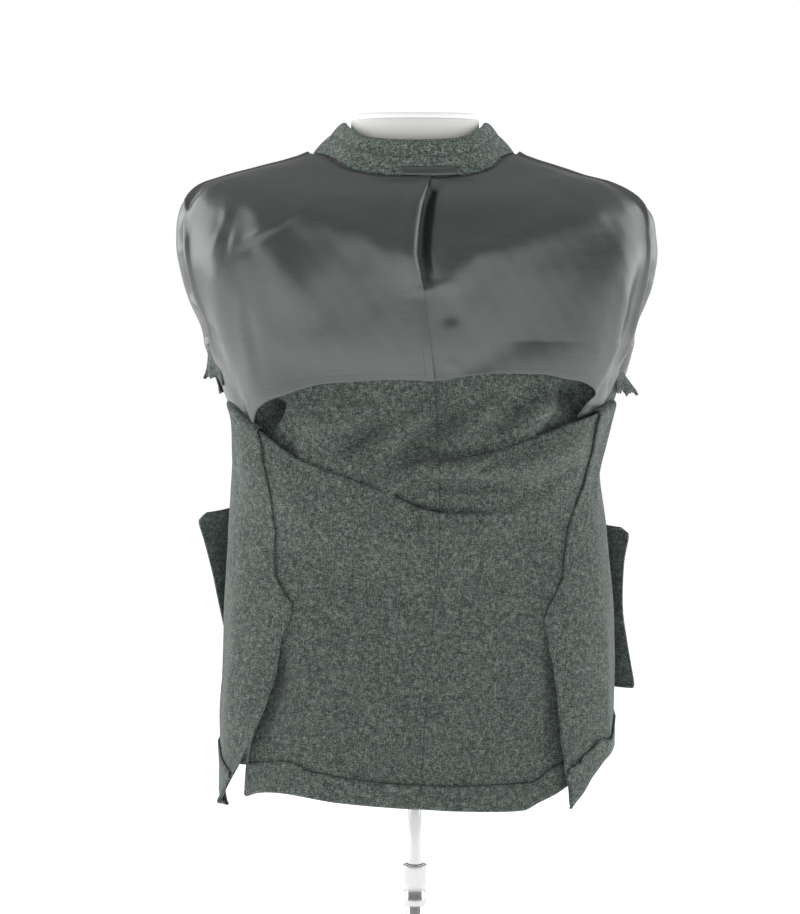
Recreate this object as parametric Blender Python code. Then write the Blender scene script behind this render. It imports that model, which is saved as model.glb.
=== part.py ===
"""A man's sport coat, turned inside out and buttoned on a limbless dress form with its stand.

Units are metres and +Z is up.  The mast stands on the Z axis and the base rests on Z = 0.  The
coat's back faces -Y and its fronts face +Y; left and right are the wearer's, left being -X.

The cloth lies on one smooth body surface, coat_surface(s, q).  The angle s runs round the body:
0 at the centre back, +0.5 at the right side, -0.5 at the left side and +1 or -1 at the centre
front.  The height q is measured down the cloth, so that a fold of cloth can overlap itself.
Every piece is a block of that surface, moved out by its layer and thickened to a wall.
"""

import math

import bmesh
import bpy
import numpy as np

# ---- Driving dimensions -----------------------------------------------------------------------

WOOL = 0.0020            # thickness of the wool flannel
SATIN = 0.0010           # thickness of the lining
GAP = 0.0004             # clear space between two layers of cloth
EDGE_GAP = 0.00025       # how far a piece stops short of a seam that it shares
TURN_UP = 0.030          # depth of the hem turn-up
UNDERLAP = 0.012         # seam allowance that runs under the side panel
LEAST_UNDERLAP = 0.010   # the narrowest that the back's own allowance gets
LEAST_STRIP = 0.006      # the narrowest first strip of the side panel
FOLD_RISE = 0.021        # half the height of cloth that the waist fold takes up
FOLD_DEPTH = 0.0105      # how far the lower cloth stands out over the upper at the fold
FOLD_HALF = 0.034        # half the height of cloth in which the fold turns over
FOLD_Z = 0.710           # the fold's middle height
FOLD_LIP = 0.012         # how far above its middle the fold starts to stand out
FOLD_ROUND = 0.026       # the height in which it comes to stand out fully
FOLD_FADE = 0.105        # how far below the fold the cloth has come back in
FOLD_FADE_SPAN = 0.085   # the height in which it comes back in
LAP_STEP = 0.0062        # how far the left front stands off the right where they overlap
LAPEL_THICKNESS = 0.0030
ROUND_EDGE = 0.0025      # how far a lining or facing stops short of the shoulder and the neck
VENT_FLARE = 0.010       # how far the free edge of a side panel stands out at the hem
VENT_TOP = 0.500         # where a vent starts to open
VENT_SPAN = 0.140
BUTTON_RADIUS = 0.010
BUTTON_THICKNESS = 0.003
BUTTON_GAP = 0.0009      # clear of the flat facets of the front
BUTTON_HEIGHTS = (0.690, 0.590)

BASE_RADIUS = 0.150
BASE_THICKNESS = 0.008
TUBE_RADIUS = 0.0095
MAST_RADIUS = 0.00765
TUBE_WALL = 0.0015
RUNNING_GAP = 0.00035    # radial clearance of the mast in the tube and in the clamp
TUBE_TOP = 0.262
FIT_GAP = 0.0003         # clear space between fixed hard parts
BASE_SEGMENTS = 44
MAST_BOTTOM = 0.140
CLAMP_RADIUS = 0.0130
CLAMP_HEIGHT = 0.044
CLAMP_LIP = 0.0065       # how far the clamp stands above the outer tube

# ---- Tables: one row per section ---------------------------------------------------------------

# Horizontal sections of the wool body, from the hem to the top of the shoulders.
BODY = {
    "columns": ("z", "left", "right", "back", "front", "square"),
    "rows": (
        (0.335, -0.1980, 0.2010, -0.131, 0.142, 2.7),
        (0.385, -0.2055, 0.2080, -0.131, 0.141, 2.7),
        (0.424, -0.2045, 0.2085, -0.130, 0.139, 2.7),
        (0.488, -0.2015, 0.2090, -0.127, 0.136, 2.7),
        (0.545, -0.1990, 0.2070, -0.124, 0.134, 2.7),
        (0.620, -0.1945, 0.2000, -0.119, 0.132, 2.7),
        (0.702, -0.1885, 0.1910, -0.118, 0.133, 2.7),
        (0.744, -0.1900, 0.2020, -0.120, 0.135, 2.7),
        (0.780, -0.1995, 0.2110, -0.123, 0.137, 2.7),
        (0.829, -0.2160, 0.2250, -0.128, 0.138, 2.6),
        (0.892, -0.2460, 0.2530, -0.128, 0.132, 2.5),
        (0.935, -0.2530, 0.2560, -0.122, 0.120, 2.4),
        (0.971, -0.2460, 0.2400, -0.109, 0.100, 2.3),
        (0.9875, -0.2200, 0.2020, -0.098, 0.086, 2.2),
        (0.9975, -0.1930, 0.1710, -0.087, 0.076, 2.1),
        (1.0070, -0.1610, 0.1460, -0.078, 0.066, 2.05),
        (1.0165, -0.1270, 0.1180, -0.066, 0.054, 2.0),
        (1.0247, -0.1070, 0.1035, -0.052, 0.040, 2.0),
    ),
}

# The waist fold: where its upper edge runs across the back, and how fully it turns over.
FOLD = {
    "columns": ("x", "z", "turn"),
    "rows": (
        (-0.190, 0.768, 0.00),
        (-0.165, 0.742, 0.35),
        (-0.118, 0.714, 1.00),
        (-0.077, 0.697, 1.00),
        (-0.031, 0.683, 1.00),
        (0.015, 0.681, 1.00),
        (0.060, 0.698, 1.00),
        (0.105, 0.720, 1.00),
        (0.150, 0.741, 0.60),
        (0.192, 0.758, 0.00),
    ),
}

# Where the centre seam and the side panels' back edges run, and the free edges of the vents.
SEAMS = {
    "columns": ("z", "centre", "side_left", "side_right", "back_left", "back_right"),
    "rows": (
        (0.340, 0.003, -0.201, 0.163, -0.180, 0.178),
        (0.385, 0.006, -0.185, 0.156, -0.176, 0.172),
        (0.420, 0.008, -0.170, 0.151, -0.172, 0.167),
        (0.488, 0.013, -0.146, 0.144, -0.160, 0.160),
        (0.545, 0.018, -0.130, 0.138, -0.146, 0.154),
        (0.600, 0.022, -0.141, 0.150, -0.155, 0.164),
        (0.680, 0.023, -0.146, 0.165, -0.160, 0.179),
        (0.740, 0.022, -0.157, 0.180, -0.171, 0.193),
        (0.800, 0.020, -0.182, 0.198, -0.195, 0.209),
        (0.832, 0.018, -0.203, 0.212, -0.209, 0.218),
        (0.998, 0.014, -0.203, 0.212, -0.209, 0.218),
    ),
}

# The neck seam on the back, from the centre to the shoulder seam.
NECK = {
    "columns": ("s", "z"),
    "rows": (
        (0.000, 0.9977),
        (0.053, 0.9987),
        (0.100, 1.0018),
        (0.151, 1.0068),
        (0.216, 1.0140),
        (0.296, 1.0205),
        (0.430, 1.0243),
        (0.500, 1.0247),
    ),
}

# How far each front's edge lies from the centre front, on its own side.
FRONT_EDGE = {
    "columns": ("z", "x"),
    "rows": (
        (0.345, 0.062),
        (0.372, 0.020),
        (0.410, -0.006),
        (0.460, -0.018),
        (0.700, -0.020),
        (0.760, 0.004),
        (0.860, 0.038),
        (0.950, 0.076),
        (1.0247, 0.106),
    ),
}

# The hem's height: at the centre back, the sides and the fronts.
HEM = {
    "columns": ("s", "z"),
    "rows": (
        (-1.060, 0.368),
        (-0.750, 0.376),
        (-0.520, 0.372),
        (-0.430, 0.338),
        (-0.380, 0.345),
        (-0.330, 0.354),
        (-0.270, 0.360),
        (-0.200, 0.362),
        (-0.100, 0.357),
        (0.000, 0.351),
        (0.100, 0.3485),
        (0.165, 0.350),
        (0.240, 0.362),
        (0.262, 0.342),
        (0.283, 0.353),
        (0.304, 0.366),
        (0.354, 0.395),
        (0.404, 0.408),
        (0.450, 0.413),
        (0.500, 0.413),
        (0.600, 0.404),
        (0.750, 0.388),
        (1.060, 0.368),
    ),
}

# The ends of the seam allowances at the underarm, from the armhole down to the frayed points:
# height, how far the row stands off the side panel's surface and how uneven its end is.
TAB = {
    "columns": ("z", "off", "off_middle", "off_end", "ragged"),
    "rows": (
        (0.804, 0.0062, 0.0062, 0.0062, 0.0),
        (0.795, 0.0095, 0.0095, 0.0095, 0.0),
        (0.786, 0.0150, 0.0170, 0.0140, 0.006),
    ),
}
TAB_ANGLES = (0.455, 0.475, 0.495)
TAB_DROP = 0.012         # how much lower the right tab hangs
UNDERARM_EASE = 0.0008   # how much more the side panel stands off the back below the armhole
EASE_FROM = 0.680        # the height from which it does
EASE_SPAN = 0.060

# The armhole lies square across the side of the body.
ARMHOLE_BOTTOM = 0.806
ARMHOLE_TOP = 0.9865
ARMHOLE_Y = -0.012
ARMHOLE_HALF_WIDTH = 0.048
FRONT_SEAM_Y = 0.022     # the seam between the side panel and the front
UNDERARM_Z = 0.832       # where the side panel's back corner meets the armhole

# Rows of the upper body above the underarm: heights at the middle and at the outer edge.
BACK_TOP_ROWS = {
    "columns": ("middle", "outer"),
    "rows": (
        (0.832, 0.832),
        (0.870, 0.872),
        (0.905, 0.912),
        (0.938, 0.950),
        (0.963, 0.978),
        (0.980, 0.9965),
        (0.990, 1.0105),
        (0.9977, 1.0240),
    ),
}
BACK_COLUMNS = (0.0, 0.14, 0.30, 0.48, 0.66, 0.84, 1.0)
FRONT_TOP_ROWS = {
    "columns": ("inner", "outer"),
    "rows": (
        (0.836, 0.832),
        (0.888, 0.872),
        (0.936, 0.912),
        (0.978, 0.950),
        (1.006, 0.972),
        (1.017, 0.9825),
        (1.0240, 0.9872),
    ),
}
FRONT_COLUMNS = (0.0, 1.0, 1.14, 1.28, 1.45, 1.70, 1.85, 2.0)
LAP_COLUMN = 1.62        # where the left front starts to lift over the right
LAP_COLUMNS = 0.20
LAP_TOP = 0.830          # above this the fronts lie open and level
LAP_SPAN = 0.050
FRONT_TOP_COLUMNS = (0.0, 0.07, 0.20, 0.33, 0.48, 0.70, 0.85, 1.0)
FRONT_ROWS = (0, 1, 2, 3, 4, 5, 6, 8, 10, 12)    # the shared rows that the fronts keep
CHEST_ROW = 7            # the first of those rows above the pocket
UNDERARM_ROWS = 5        # the rows of the front lining that pass over the side panel
FACING_COLUMN = 5        # the column of the front where its facing ends

# Sleeves: the outer and the inner side of each section, measured in from the coat's side.
SLEEVE = {
    "columns": ("outer_z", "outer_in", "inner_z", "inner_in", "mid_y", "half_y"),
    "rows": (
        (0.8070, 0.0026, 0.9830, 0.0030, -0.012, 0.0455),
        (0.8020, 0.0100, 0.9690, 0.0300, -0.011, 0.0430),
        (0.7930, 0.0110, 0.9350, 0.0560, -0.009, 0.0480),
        (0.7820, 0.0090, 0.8850, 0.0620, -0.007, 0.0540),
        (0.7630, 0.0060, 0.8200, 0.0480, -0.004, 0.0600),
        (0.7300, 0.0050, 0.7500, 0.0340, 0.000, 0.0640),
        (0.6600, 0.0045, 0.6620, 0.0310, 0.006, 0.0640),
        (0.5600, 0.0045, 0.5600, 0.0300, 0.012, 0.0620),
        (0.4600, 0.0045, 0.4600, 0.0290, 0.010, 0.0580),
        (0.3850, 0.0045, 0.3850, 0.0280, 0.004, 0.0540),
    ),
}
SLEEVE_LINING_ROWS = 4   # how many sections of the sleeve show their lining through the armhole

# The collar's top fold, by the share of the neck seam: 0 at the centre back, 1 at the shoulder.
COLLAR = {
    "columns": ("t", "x", "y", "z"),
    "rows": (
        (0.00, 0.0000, -0.0735, 1.0365),
        (0.14, 0.0270, -0.0715, 1.0372),
        (0.30, 0.0520, -0.0600, 1.0410),
        (0.48, 0.0665, -0.0410, 1.0465),
        (0.66, 0.0735, -0.0200, 1.0510),
        (1.00, 0.0755, 0.0050, 1.0535),
        (1.20, 0.0715, 0.0320, 1.0490),
        (1.40, 0.0630, 0.0500, 1.0420),
        (1.60, 0.0530, 0.0640, 1.0300),
    ),
}
COLLAR_FOOT = 0.0014     # how far the collar stand starts above the neck seam
# The collar's section: share of the way up from the foot, and how far inside the stand.
COLLAR_SECTION = ((0.60, 0.0), (0.80, 0.0), (0.96, 0.0002), (1.02, 0.0017), (0.96, 0.0034),
                  (0.70, 0.0034), (0.36, 0.0034))
STAND_SECTION = (0.0, 0.29, 0.58)
LOOP_ENDS = (-0.0127, 0.0445)    # the hanger loop at the foot of the collar stand
LOOP_SECTION = (0.02, 0.12, 0.22)

# The back lining's hem across the back, and how far the lining stands off the wool at its hem.
LINING_HEM = {
    "columns": ("x", "z", "off"),
    "rows": (
        (-0.197, 0.796, 0.0066),
        (-0.186, 0.772, 0.0070),
        (-0.168, 0.759, 0.0090),
        (-0.128, 0.7785, 0.0070),
        (-0.060, 0.791, 0.0045),
        (0.020, 0.792, 0.0036),
        (0.080, 0.801, 0.0042),
        (0.140, 0.797, 0.0060),
        (0.168, 0.768, 0.0090),
        (0.188, 0.770, 0.0070),
        (0.206, 0.796, 0.0066),
    ),
}
LINING_OFF = 0.0034      # how far the middle of the lining lies off the middle of the wool
SEWN_OFF = 0.0022        # the same at the neck and the shoulder seam, where it is sewn down
LINING_SIDE_OFF = 0.0036     # how much more it stands off over the side panel
LINING_CORNER_OFF = 0.0085   # how far it stands off above its lower corners
LINING_HEM_Z = 0.790
PLEAT_X = 0.008          # where the centre pleat's folded edge lies
PLEAT_UNDER = 0.020      # how far the right half runs under the left at the pleat
FRONT_LINING_HEM = 0.775

# Pocket bags: inner and outer heights of each row, and how far out the free outer edge stands.
POCKETS = {
    -1: {
        "columns": ("inner_z", "outer_z", "outer_x"),
        "rows": (
            (0.648, 0.634, 0.2300),
            (0.610, 0.610, 0.2250),
            (0.570, 0.578, 0.2170),
            (0.530, 0.545, 0.2120),
            (0.487, 0.517, 0.2090),
        ),
    },
    1: {
        "columns": ("inner_z", "outer_z", "outer_x"),
        "rows": (
            (0.628, 0.622, 0.2285),
            (0.590, 0.580, 0.2240),
            (0.545, 0.537, 0.2235),
            (0.500, 0.500, 0.2285),
            (0.455, 0.456, 0.2355),
        ),
    },
}
POCKET_COLUMNS = (2, 3, 4)            # the front's columns that the bag hangs against
POCKET_FREE_Y = 0.040
POCKET_THICKNESS = 0.0030
POCKET_OFF = 0.0010      # how far the bag hangs off the front

# The form's horizontal sections.
FORM = {
    "columns": ("z", "half", "back", "front"),
    "rows": (
        (0.4150, 0.132, -0.082, 0.086),
        (0.4210, 0.138, -0.088, 0.092),
        (0.4700, 0.142, -0.091, 0.096),
        (0.5600, 0.140, -0.086, 0.094),
        (0.6400, 0.137, -0.082, 0.093),
        (0.7200, 0.139, -0.086, 0.098),
        (0.8000, 0.142, -0.096, 0.106),
        (0.8700, 0.144, -0.102, 0.108),
        (0.9200, 0.147, -0.100, 0.100),
        (0.9500, 0.151, -0.092, 0.086),
        (0.9700, 0.154, -0.083, 0.074),
        (0.9850, 0.156, -0.076, 0.064),
        (0.9960, 0.152, -0.070, 0.058),
        (1.0050, 0.137, -0.064, 0.054),
        (1.0120, 0.1208, -0.060, 0.052),
        (1.0180, 0.098, -0.058, 0.054),
        (1.0230, 0.085, -0.057, 0.058),
        (1.0290, 0.074, -0.057, 0.060),
        (1.0380, 0.0675, -0.058, 0.062),
        (1.0600, 0.0665, -0.059, 0.064),
    ),
}
NECK_CAP_HEIGHT = 0.006
FORM_SEGMENTS = 28

# ---- Materials ---------------------------------------------------------------------------------

MATERIALS = {
    # name: (red, green, blue), roughness, metallic
    "wool flannel": ((0.085, 0.105, 0.093), 0.92, 0.0),
    "wool collar": ((0.108, 0.133, 0.124), 0.92, 0.0),
    "pocket wool": ((0.052, 0.066, 0.060), 0.92, 0.0),
    "satin lining": ((0.095, 0.100, 0.104), 0.42, 0.0),
    "horn button": ((0.050, 0.045, 0.040), 0.40, 0.0),
    "form jersey": ((0.90, 0.90, 0.88), 0.80, 0.0),
    "neck cap": ((0.88, 0.88, 0.87), 0.45, 0.0),
    "chrome": ((0.62, 0.62, 0.63), 0.18, 1.0),
    "base steel": ((0.60, 0.60, 0.61), 0.28, 1.0),
}


def material(name):
    """The named Principled material, made once."""
    found = bpy.data.materials.get(name)
    if found:
        return found
    colour, roughness, metallic = MATERIALS[name]
    made = bpy.data.materials.new(name)
    made.use_nodes = True
    shader = made.node_tree.nodes["Principled BSDF"]
    shader.inputs["Base Color"].default_value = (*colour, 1.0)
    shader.inputs["Roughness"].default_value = roughness
    shader.inputs["Metallic"].default_value = metallic
    return made


# ---- Reading the tables ------------------------------------------------------------------------


def column(table, name):
    """One column of a table as an array."""
    place = table["columns"].index(name)
    return np.array([row[place] for row in table["rows"]], dtype=float)


def curve(table, name, at):
    """A smooth curve through one column, read at the given values of the table's first column."""
    knots = column(table, table["columns"][0])
    values = column(table, name)
    at = np.clip(np.asarray(at, dtype=float), knots[0], knots[-1])
    slopes = np.gradient(values, knots)
    steps = np.diff(values) / np.diff(knots)
    for i, step in enumerate(steps):
        limit = 3.0 * abs(step)
        slopes[i] = math.copysign(min(abs(slopes[i]), limit), slopes[i])
        slopes[i + 1] = math.copysign(min(abs(slopes[i + 1]), limit), slopes[i + 1])
    index = np.clip(np.searchsorted(knots, at, side="right") - 1, 0, len(knots) - 2)
    width = knots[index + 1] - knots[index]
    t = (at - knots[index]) / width
    start = values[index] * (1 + 2 * t) * (1 - t) ** 2 + slopes[index] * width * t * (1 - t) ** 2
    end = values[index + 1] * t * t * (3 - 2 * t) + slopes[index + 1] * width * t * t * (t - 1)
    return start + end


def smooth(t):
    """A soft step from 0 to 1."""
    t = np.clip(t, 0.0, 1.0)
    return t * t * (3.0 - 2.0 * t)


# ---- The body surface --------------------------------------------------------------------------


def section(z):
    """Centre, half sizes and squareness of the body's section at height z."""
    left, right = curve(BODY, "left", z), curve(BODY, "right", z)
    back, front = curve(BODY, "back", z), curve(BODY, "front", z)
    square = curve(BODY, "square", z)
    return (left + right) / 2, (right - left) / 2, (back + front) / 2, (front - back) / 2, square


def ring_point(s, z):
    """The point at angle s on the body's section at height z, as separate x and y."""
    centre_x, half_x, centre_y, half_y, square = section(z)
    sine, cosine = np.sin(np.pi * s), np.cos(np.pi * s)
    x = centre_x + half_x * np.sign(sine) * np.abs(sine) ** (2 / square)
    y = centre_y - half_y * np.sign(cosine) * np.abs(cosine) ** (2 / square)
    return x, y


def angle_at_x(x, z, front=False):
    """The angle s of the point with this x, on the back or the front of the section at z."""
    centre_x, half_x, _, _, square = section(z)
    share = np.clip((x - centre_x) / half_x, -1.0, 1.0)
    s = np.arcsin(np.abs(share) ** (square / 2)) / np.pi
    s = np.sign(share) * s
    return np.where(front, np.where(share < 0, -1.0, 1.0) - s, s)


def angle_at_y(y, z, side):
    """The angle s of the point with this y, on the left (-1) or the right (+1) side."""
    _, _, centre_y, half_y, square = section(z)
    share = np.clip((centre_y - y) / half_y, -1.0, 1.0)
    return side * np.arccos(np.sign(share) * np.abs(share) ** (square / 2)) / np.pi


def fold_line(s):
    """Height and fullness of the waist fold at angle s."""
    x, _ = ring_point(np.clip(s, -0.5, 0.5), FOLD_Z + 0.0 * np.asarray(s))
    turn = np.where(np.abs(s) < 0.5, curve(FOLD, "turn", x), 0.0)
    return curve(FOLD, "z", x), turn


def coat_surface(s, q):
    """Points of the body surface, with the waist fold laid over itself."""
    s, q = np.broadcast_arrays(np.asarray(s, dtype=float), np.asarray(q, dtype=float))
    fold_z, turn = fold_line(s)
    below = q - fold_z
    swing = np.clip(below / FOLD_HALF, -1.0, 1.0)
    z = q - turn * FOLD_RISE * np.sin(np.pi * swing)
    rise = smooth((FOLD_LIP - below) / FOLD_ROUND)
    fade = smooth((below + FOLD_FADE) / FOLD_FADE_SPAN)
    out = turn * FOLD_DEPTH * rise * fade
    x, y = ring_point(s, z)
    centre_x, _, centre_y, _, _ = section(z)
    away = np.hypot(x - centre_x, y - centre_y)
    x = x + out * (x - centre_x) / away
    y = y + out * (y - centre_y) / away
    return np.stack([x, y, z], axis=-1)


def coat_normals(s, q):
    """Outward unit normals of the body surface."""
    ds, dq = 0.002, 0.0008
    along = coat_surface(s + ds, q) - coat_surface(s - ds, q)
    up = coat_surface(s, q + dq) - coat_surface(s, q - dq)
    normals = np.cross(along, up)
    return normals / np.linalg.norm(normals, axis=-1, keepdims=True)


def layer(block, offset):
    """The block's points moved out of the body surface by the given offset."""
    s, q = block
    offset = np.broadcast_to(offset, s.shape)
    return coat_surface(s, q) + coat_normals(s, q) * offset[..., None], coat_normals(s, q)


# ---- Making meshes -----------------------------------------------------------------------------


def add_object(name, vertices, faces, material_name):
    """A mesh object with its faces pointing out."""
    mesh = bpy.data.meshes.new(name)
    mesh.from_pydata([tuple(v) for v in vertices], [], faces)
    mesh.validate()
    work = bmesh.new()
    work.from_mesh(mesh)
    bmesh.ops.recalc_face_normals(work, faces=work.faces)
    work.to_mesh(mesh)
    work.free()
    mesh.shade_smooth()
    mesh.set_sharp_from_angle(angle=math.radians(50))
    made = bpy.data.objects.new(name, mesh)
    bpy.context.collection.objects.link(made)
    made.data.materials.append(material(material_name))
    return made


def grid_normals(points, closed=False):
    """Unit normals of a grid of points, from its own rows and columns."""
    if closed:
        wide = np.concatenate([points[:, -1:], points, points[:, :1]], axis=1)
        across = wide[:, 2:] - wide[:, :-2]
    else:
        across = np.gradient(points, axis=1)
    down = np.gradient(points, axis=0)
    normals = np.cross(across, down)
    return normals / np.linalg.norm(normals, axis=-1, keepdims=True)


def sheet(name, points, normals, thickness, material_name, closed=False):
    """A wall of cloth: a grid of points given a thickness, with its rim closed."""
    rows, columns = points.shape[:2]
    half = np.asarray(thickness) / 2
    half = np.broadcast_to(half, (rows, columns))[..., None]
    outer = (points + normals * half).reshape(-1, 3)
    inner = (points - normals * half).reshape(-1, 3)
    vertices = np.concatenate([outer, inner])
    base = rows * columns
    spans = columns if closed else columns - 1
    faces = []
    for r in range(rows - 1):
        for c in range(spans):
            d = (c + 1) % columns
            a, b = r * columns + c, r * columns + d
            e, f = a + columns, b + columns
            faces += [(a, b, f), (a, f, e)]
            faces += [(base + b, base + a, base + f), (base + f, base + a, base + e)]
    rim = []
    if closed:
        rim.append([(c, (c + 1) % columns) for c in range(columns)])
        top = (rows - 1) * columns
        rim.append([(top + (c + 1) % columns, top + c) for c in range(columns)])
    else:
        loop = list(range(columns))
        loop += [r * columns + columns - 1 for r in range(1, rows)]
        loop += [(rows - 1) * columns + c for c in range(columns - 2, -1, -1)]
        loop += [r * columns for r in range(rows - 2, 0, -1)]
        rim.append([(loop[i], loop[(i + 1) % len(loop)]) for i in range(len(loop))])
    for edges in rim:
        for a, b in edges:
            faces.append((b, a, base + a, base + b))
    return add_object(name, vertices, faces, material_name)


def rings_solid(name, rings, material_name):
    """A solid through closed rings, capped flat at both ends."""
    count, size = len(rings), len(rings[0])
    vertices = [point for ring in rings for point in ring]
    faces = [tuple(range(size))[::-1]]
    for r in range(count - 1):
        for c in range(size):
            d = (c + 1) % size
            faces.append((r * size + c, r * size + d, (r + 1) * size + d, (r + 1) * size + c))
    faces.append(tuple(range((count - 1) * size, count * size)))
    return add_object(name, vertices, faces, material_name)


def turned(name, profile, material_name, segments=24):
    """A solid of revolution about the Z axis, from (radius, z) points round its whole section."""
    vertices, faces = [], []
    size = len(profile)
    for k in range(segments):
        angle = 2 * math.pi * k / segments
        vertices += [(r * math.cos(angle), r * math.sin(angle), z) for r, z in profile]
    for k in range(segments):
        here, there = k * size, ((k + 1) % segments) * size
        for i in range(size):
            j = (i + 1) % size
            faces.append((here + i, here + j, there + j, there + i))
    return add_object(name, vertices, faces, material_name)


# ---- Rows and columns shared by the panels ------------------------------------------------------

FOLD_STEPS = (-1.0, -0.66, -0.36, -0.12, 0.12, 0.36, 0.66, 1.0)


def lower_rows(s):
    """Heights of the rows from the hem to the underarm, at each angle of the array s."""
    hem = curve(HEM, "z", s)
    fold_z, turn = fold_line(s)
    low = fold_z - FOLD_HALF
    rows = [hem, hem + TURN_UP]
    for share in (0.25, 0.5, 0.75):
        rows.append(hem + TURN_UP + (low - hem - TURN_UP) * share)
    for step in FOLD_STEPS:
        rows.append(fold_z + FOLD_HALF * step)
    return np.stack(rows)


def seam_angle(name, z):
    """The angle of one of the seams of the back at height z."""
    z = np.asarray(z, dtype=float)
    return angle_at_x(curve(SEAMS, name, z), z)


def armhole_angle(z, side, front):
    """The angle of the armhole's back or front edge at height z."""
    middle = (ARMHOLE_TOP + ARMHOLE_BOTTOM) / 2
    half = (ARMHOLE_TOP - ARMHOLE_BOTTOM) / 2
    round_off = np.sqrt(np.clip(1 - ((z - middle) / half) ** 2, 0.0, 1.0))
    y = ARMHOLE_Y + (1 if front else -1) * ARMHOLE_HALF_WIDTH * round_off
    return angle_at_y(y, z, side)


def rows_along(line, guess):
    """Row heights where the rows cross a seam: the seam's angle depends on the height itself."""
    q = np.asarray(guess, dtype=float)
    for _ in range(12):
        s = line(q)
        q = np.array([lower_rows(np.array([value]))[i, 0] for i, value in enumerate(s)])
    return line(q), q


def lower_block(lines, shares):
    """A block of the lower body between seam lines; shares places columns between two lines."""
    guess = lower_rows(np.array([0.2]))[:, 0]
    found = [rows_along(line, guess) for line in lines]
    columns = []
    for place in shares:
        low = min(int(place), len(lines) - 2)
        part = place - low
        columns.append(found[low][0] * (1 - part) + found[low + 1][0] * part)
    s = np.stack(columns, axis=1)
    q = np.stack([lower_rows(s[:, c])[np.arange(s.shape[0]), np.arange(s.shape[0])]
                  for c in range(s.shape[1])], axis=1)
    return s, q


def trimmed(block, left=0.0, right=0.0, bottom=0.0, top=0.0):
    """The block with its edges pulled in by small lengths."""
    s, q = block[0].copy(), block[1].copy()
    points = coat_surface(s, q)
    for cut, edge, inner in ((left, 0, 1), (right, -1, -2)):
        if cut:
            width = np.linalg.norm(points[:, inner] - points[:, edge], axis=-1)
            share = cut / width
            s[:, edge] += (s[:, inner] - s[:, edge]) * share
            q[:, edge] += (q[:, inner] - q[:, edge]) * share
    for cut, edge, inner in ((bottom, 0, 1), (top, -1, -2)):
        if cut:
            width = np.linalg.norm(points[inner] - points[edge], axis=-1)
            share = cut / width
            s[edge] += (s[inner] - s[edge]) * share
            q[edge] += (q[inner] - q[edge]) * share
    return s, q


def cut_block(block, rows=slice(None), columns=slice(None)):
    """Part of a block."""
    return block[0][rows, columns], block[1][rows, columns]


# ---- The coat's pieces --------------------------------------------------------------------------

SIDES = {-1: "left", 1: "right"}


def line_at_x(name):
    """A seam line of the back, as a function from heights to angles."""
    return lambda z: angle_at_x(curve(SEAMS, name, z), z)


def shared_line(side):
    """The line where the back starts to run under the side panel."""
    def line(z):
        panel = side * curve(SEAMS, "side_" + SIDES[side], z)
        back = side * curve(SEAMS, "back_" + SIDES[side], z)
        return angle_at_x(side * np.minimum(panel, back - LEAST_UNDERLAP), z)
    return line


def outer_line(side):
    """The side panel's second column: the back's edge, or a little past the panel's own edge."""
    def line(z):
        panel = side * curve(SEAMS, "side_" + SIDES[side], z)
        back = side * curve(SEAMS, "back_" + SIDES[side], z)
        return angle_at_x(side * np.maximum(panel + LEAST_STRIP, back), z)
    return line


def y_line(y, side):
    """A line at one depth along the side of the body."""
    return lambda z: angle_at_y(y + 0.0 * np.asarray(z), z, side)


def front_edge_line(side):
    """The front's edge, past the centre front by its overlap."""
    return lambda z: front_edge_angle(z, side)


def front_edge_angle(z, side):
    """The angle of the front's edge at height z; past the centre front it runs over 1."""
    x = curve(FRONT_EDGE, "x", z)
    inside = angle_at_x(side * np.maximum(x, 0.0), z, front=True)
    inside = side * np.abs(inside)
    _, half_x, _, _, _ = section(np.asarray(z, dtype=float))
    past = np.minimum(x, 0.0) / (half_x * np.pi) * 0.72
    return inside - side * past


def stacked(blocks):
    """One block from several, one above the other."""
    return (np.concatenate([block[0] for block in blocks]),
            np.concatenate([block[1] for block in blocks]))


def back_block(side):
    """The back panel of one side, from the hem to the shoulder seam and the neck."""
    lines = [line_at_x("centre"), shared_line(side),
             line_at_x("back_" + SIDES[side])]
    lower = lower_block(lines, (0.0, 0.2, 0.4, 0.6, 0.8, 1.0, 2.0))
    return stacked([lower, back_top(side)])


def back_top(side, columns=BACK_COLUMNS):
    """The rows of the back above the underarm."""
    share = np.array(columns)
    neck = curve(NECK, "z", 0.5 * np.clip(share, 0, 1))
    lift = (neck - neck[np.argmin(np.abs(share))])
    lift = np.clip(lift / (curve(NECK, "z", 0.5) - curve(NECK, "z", 0.0)), 0, 1)
    s_rows, q_rows = [], []
    for middle, outer in zip(column(BACK_TOP_ROWS, "middle"), column(BACK_TOP_ROWS, "outer")):
        start = seam_angle("centre", middle)
        end = armhole_angle(outer, side, False) if outer < ARMHOLE_TOP else side * 0.5
        s_rows.append(start + (end - start) * share)
        q_rows.append(middle + (outer - middle) * lift)
    return np.array(s_rows), np.array(q_rows)


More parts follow.
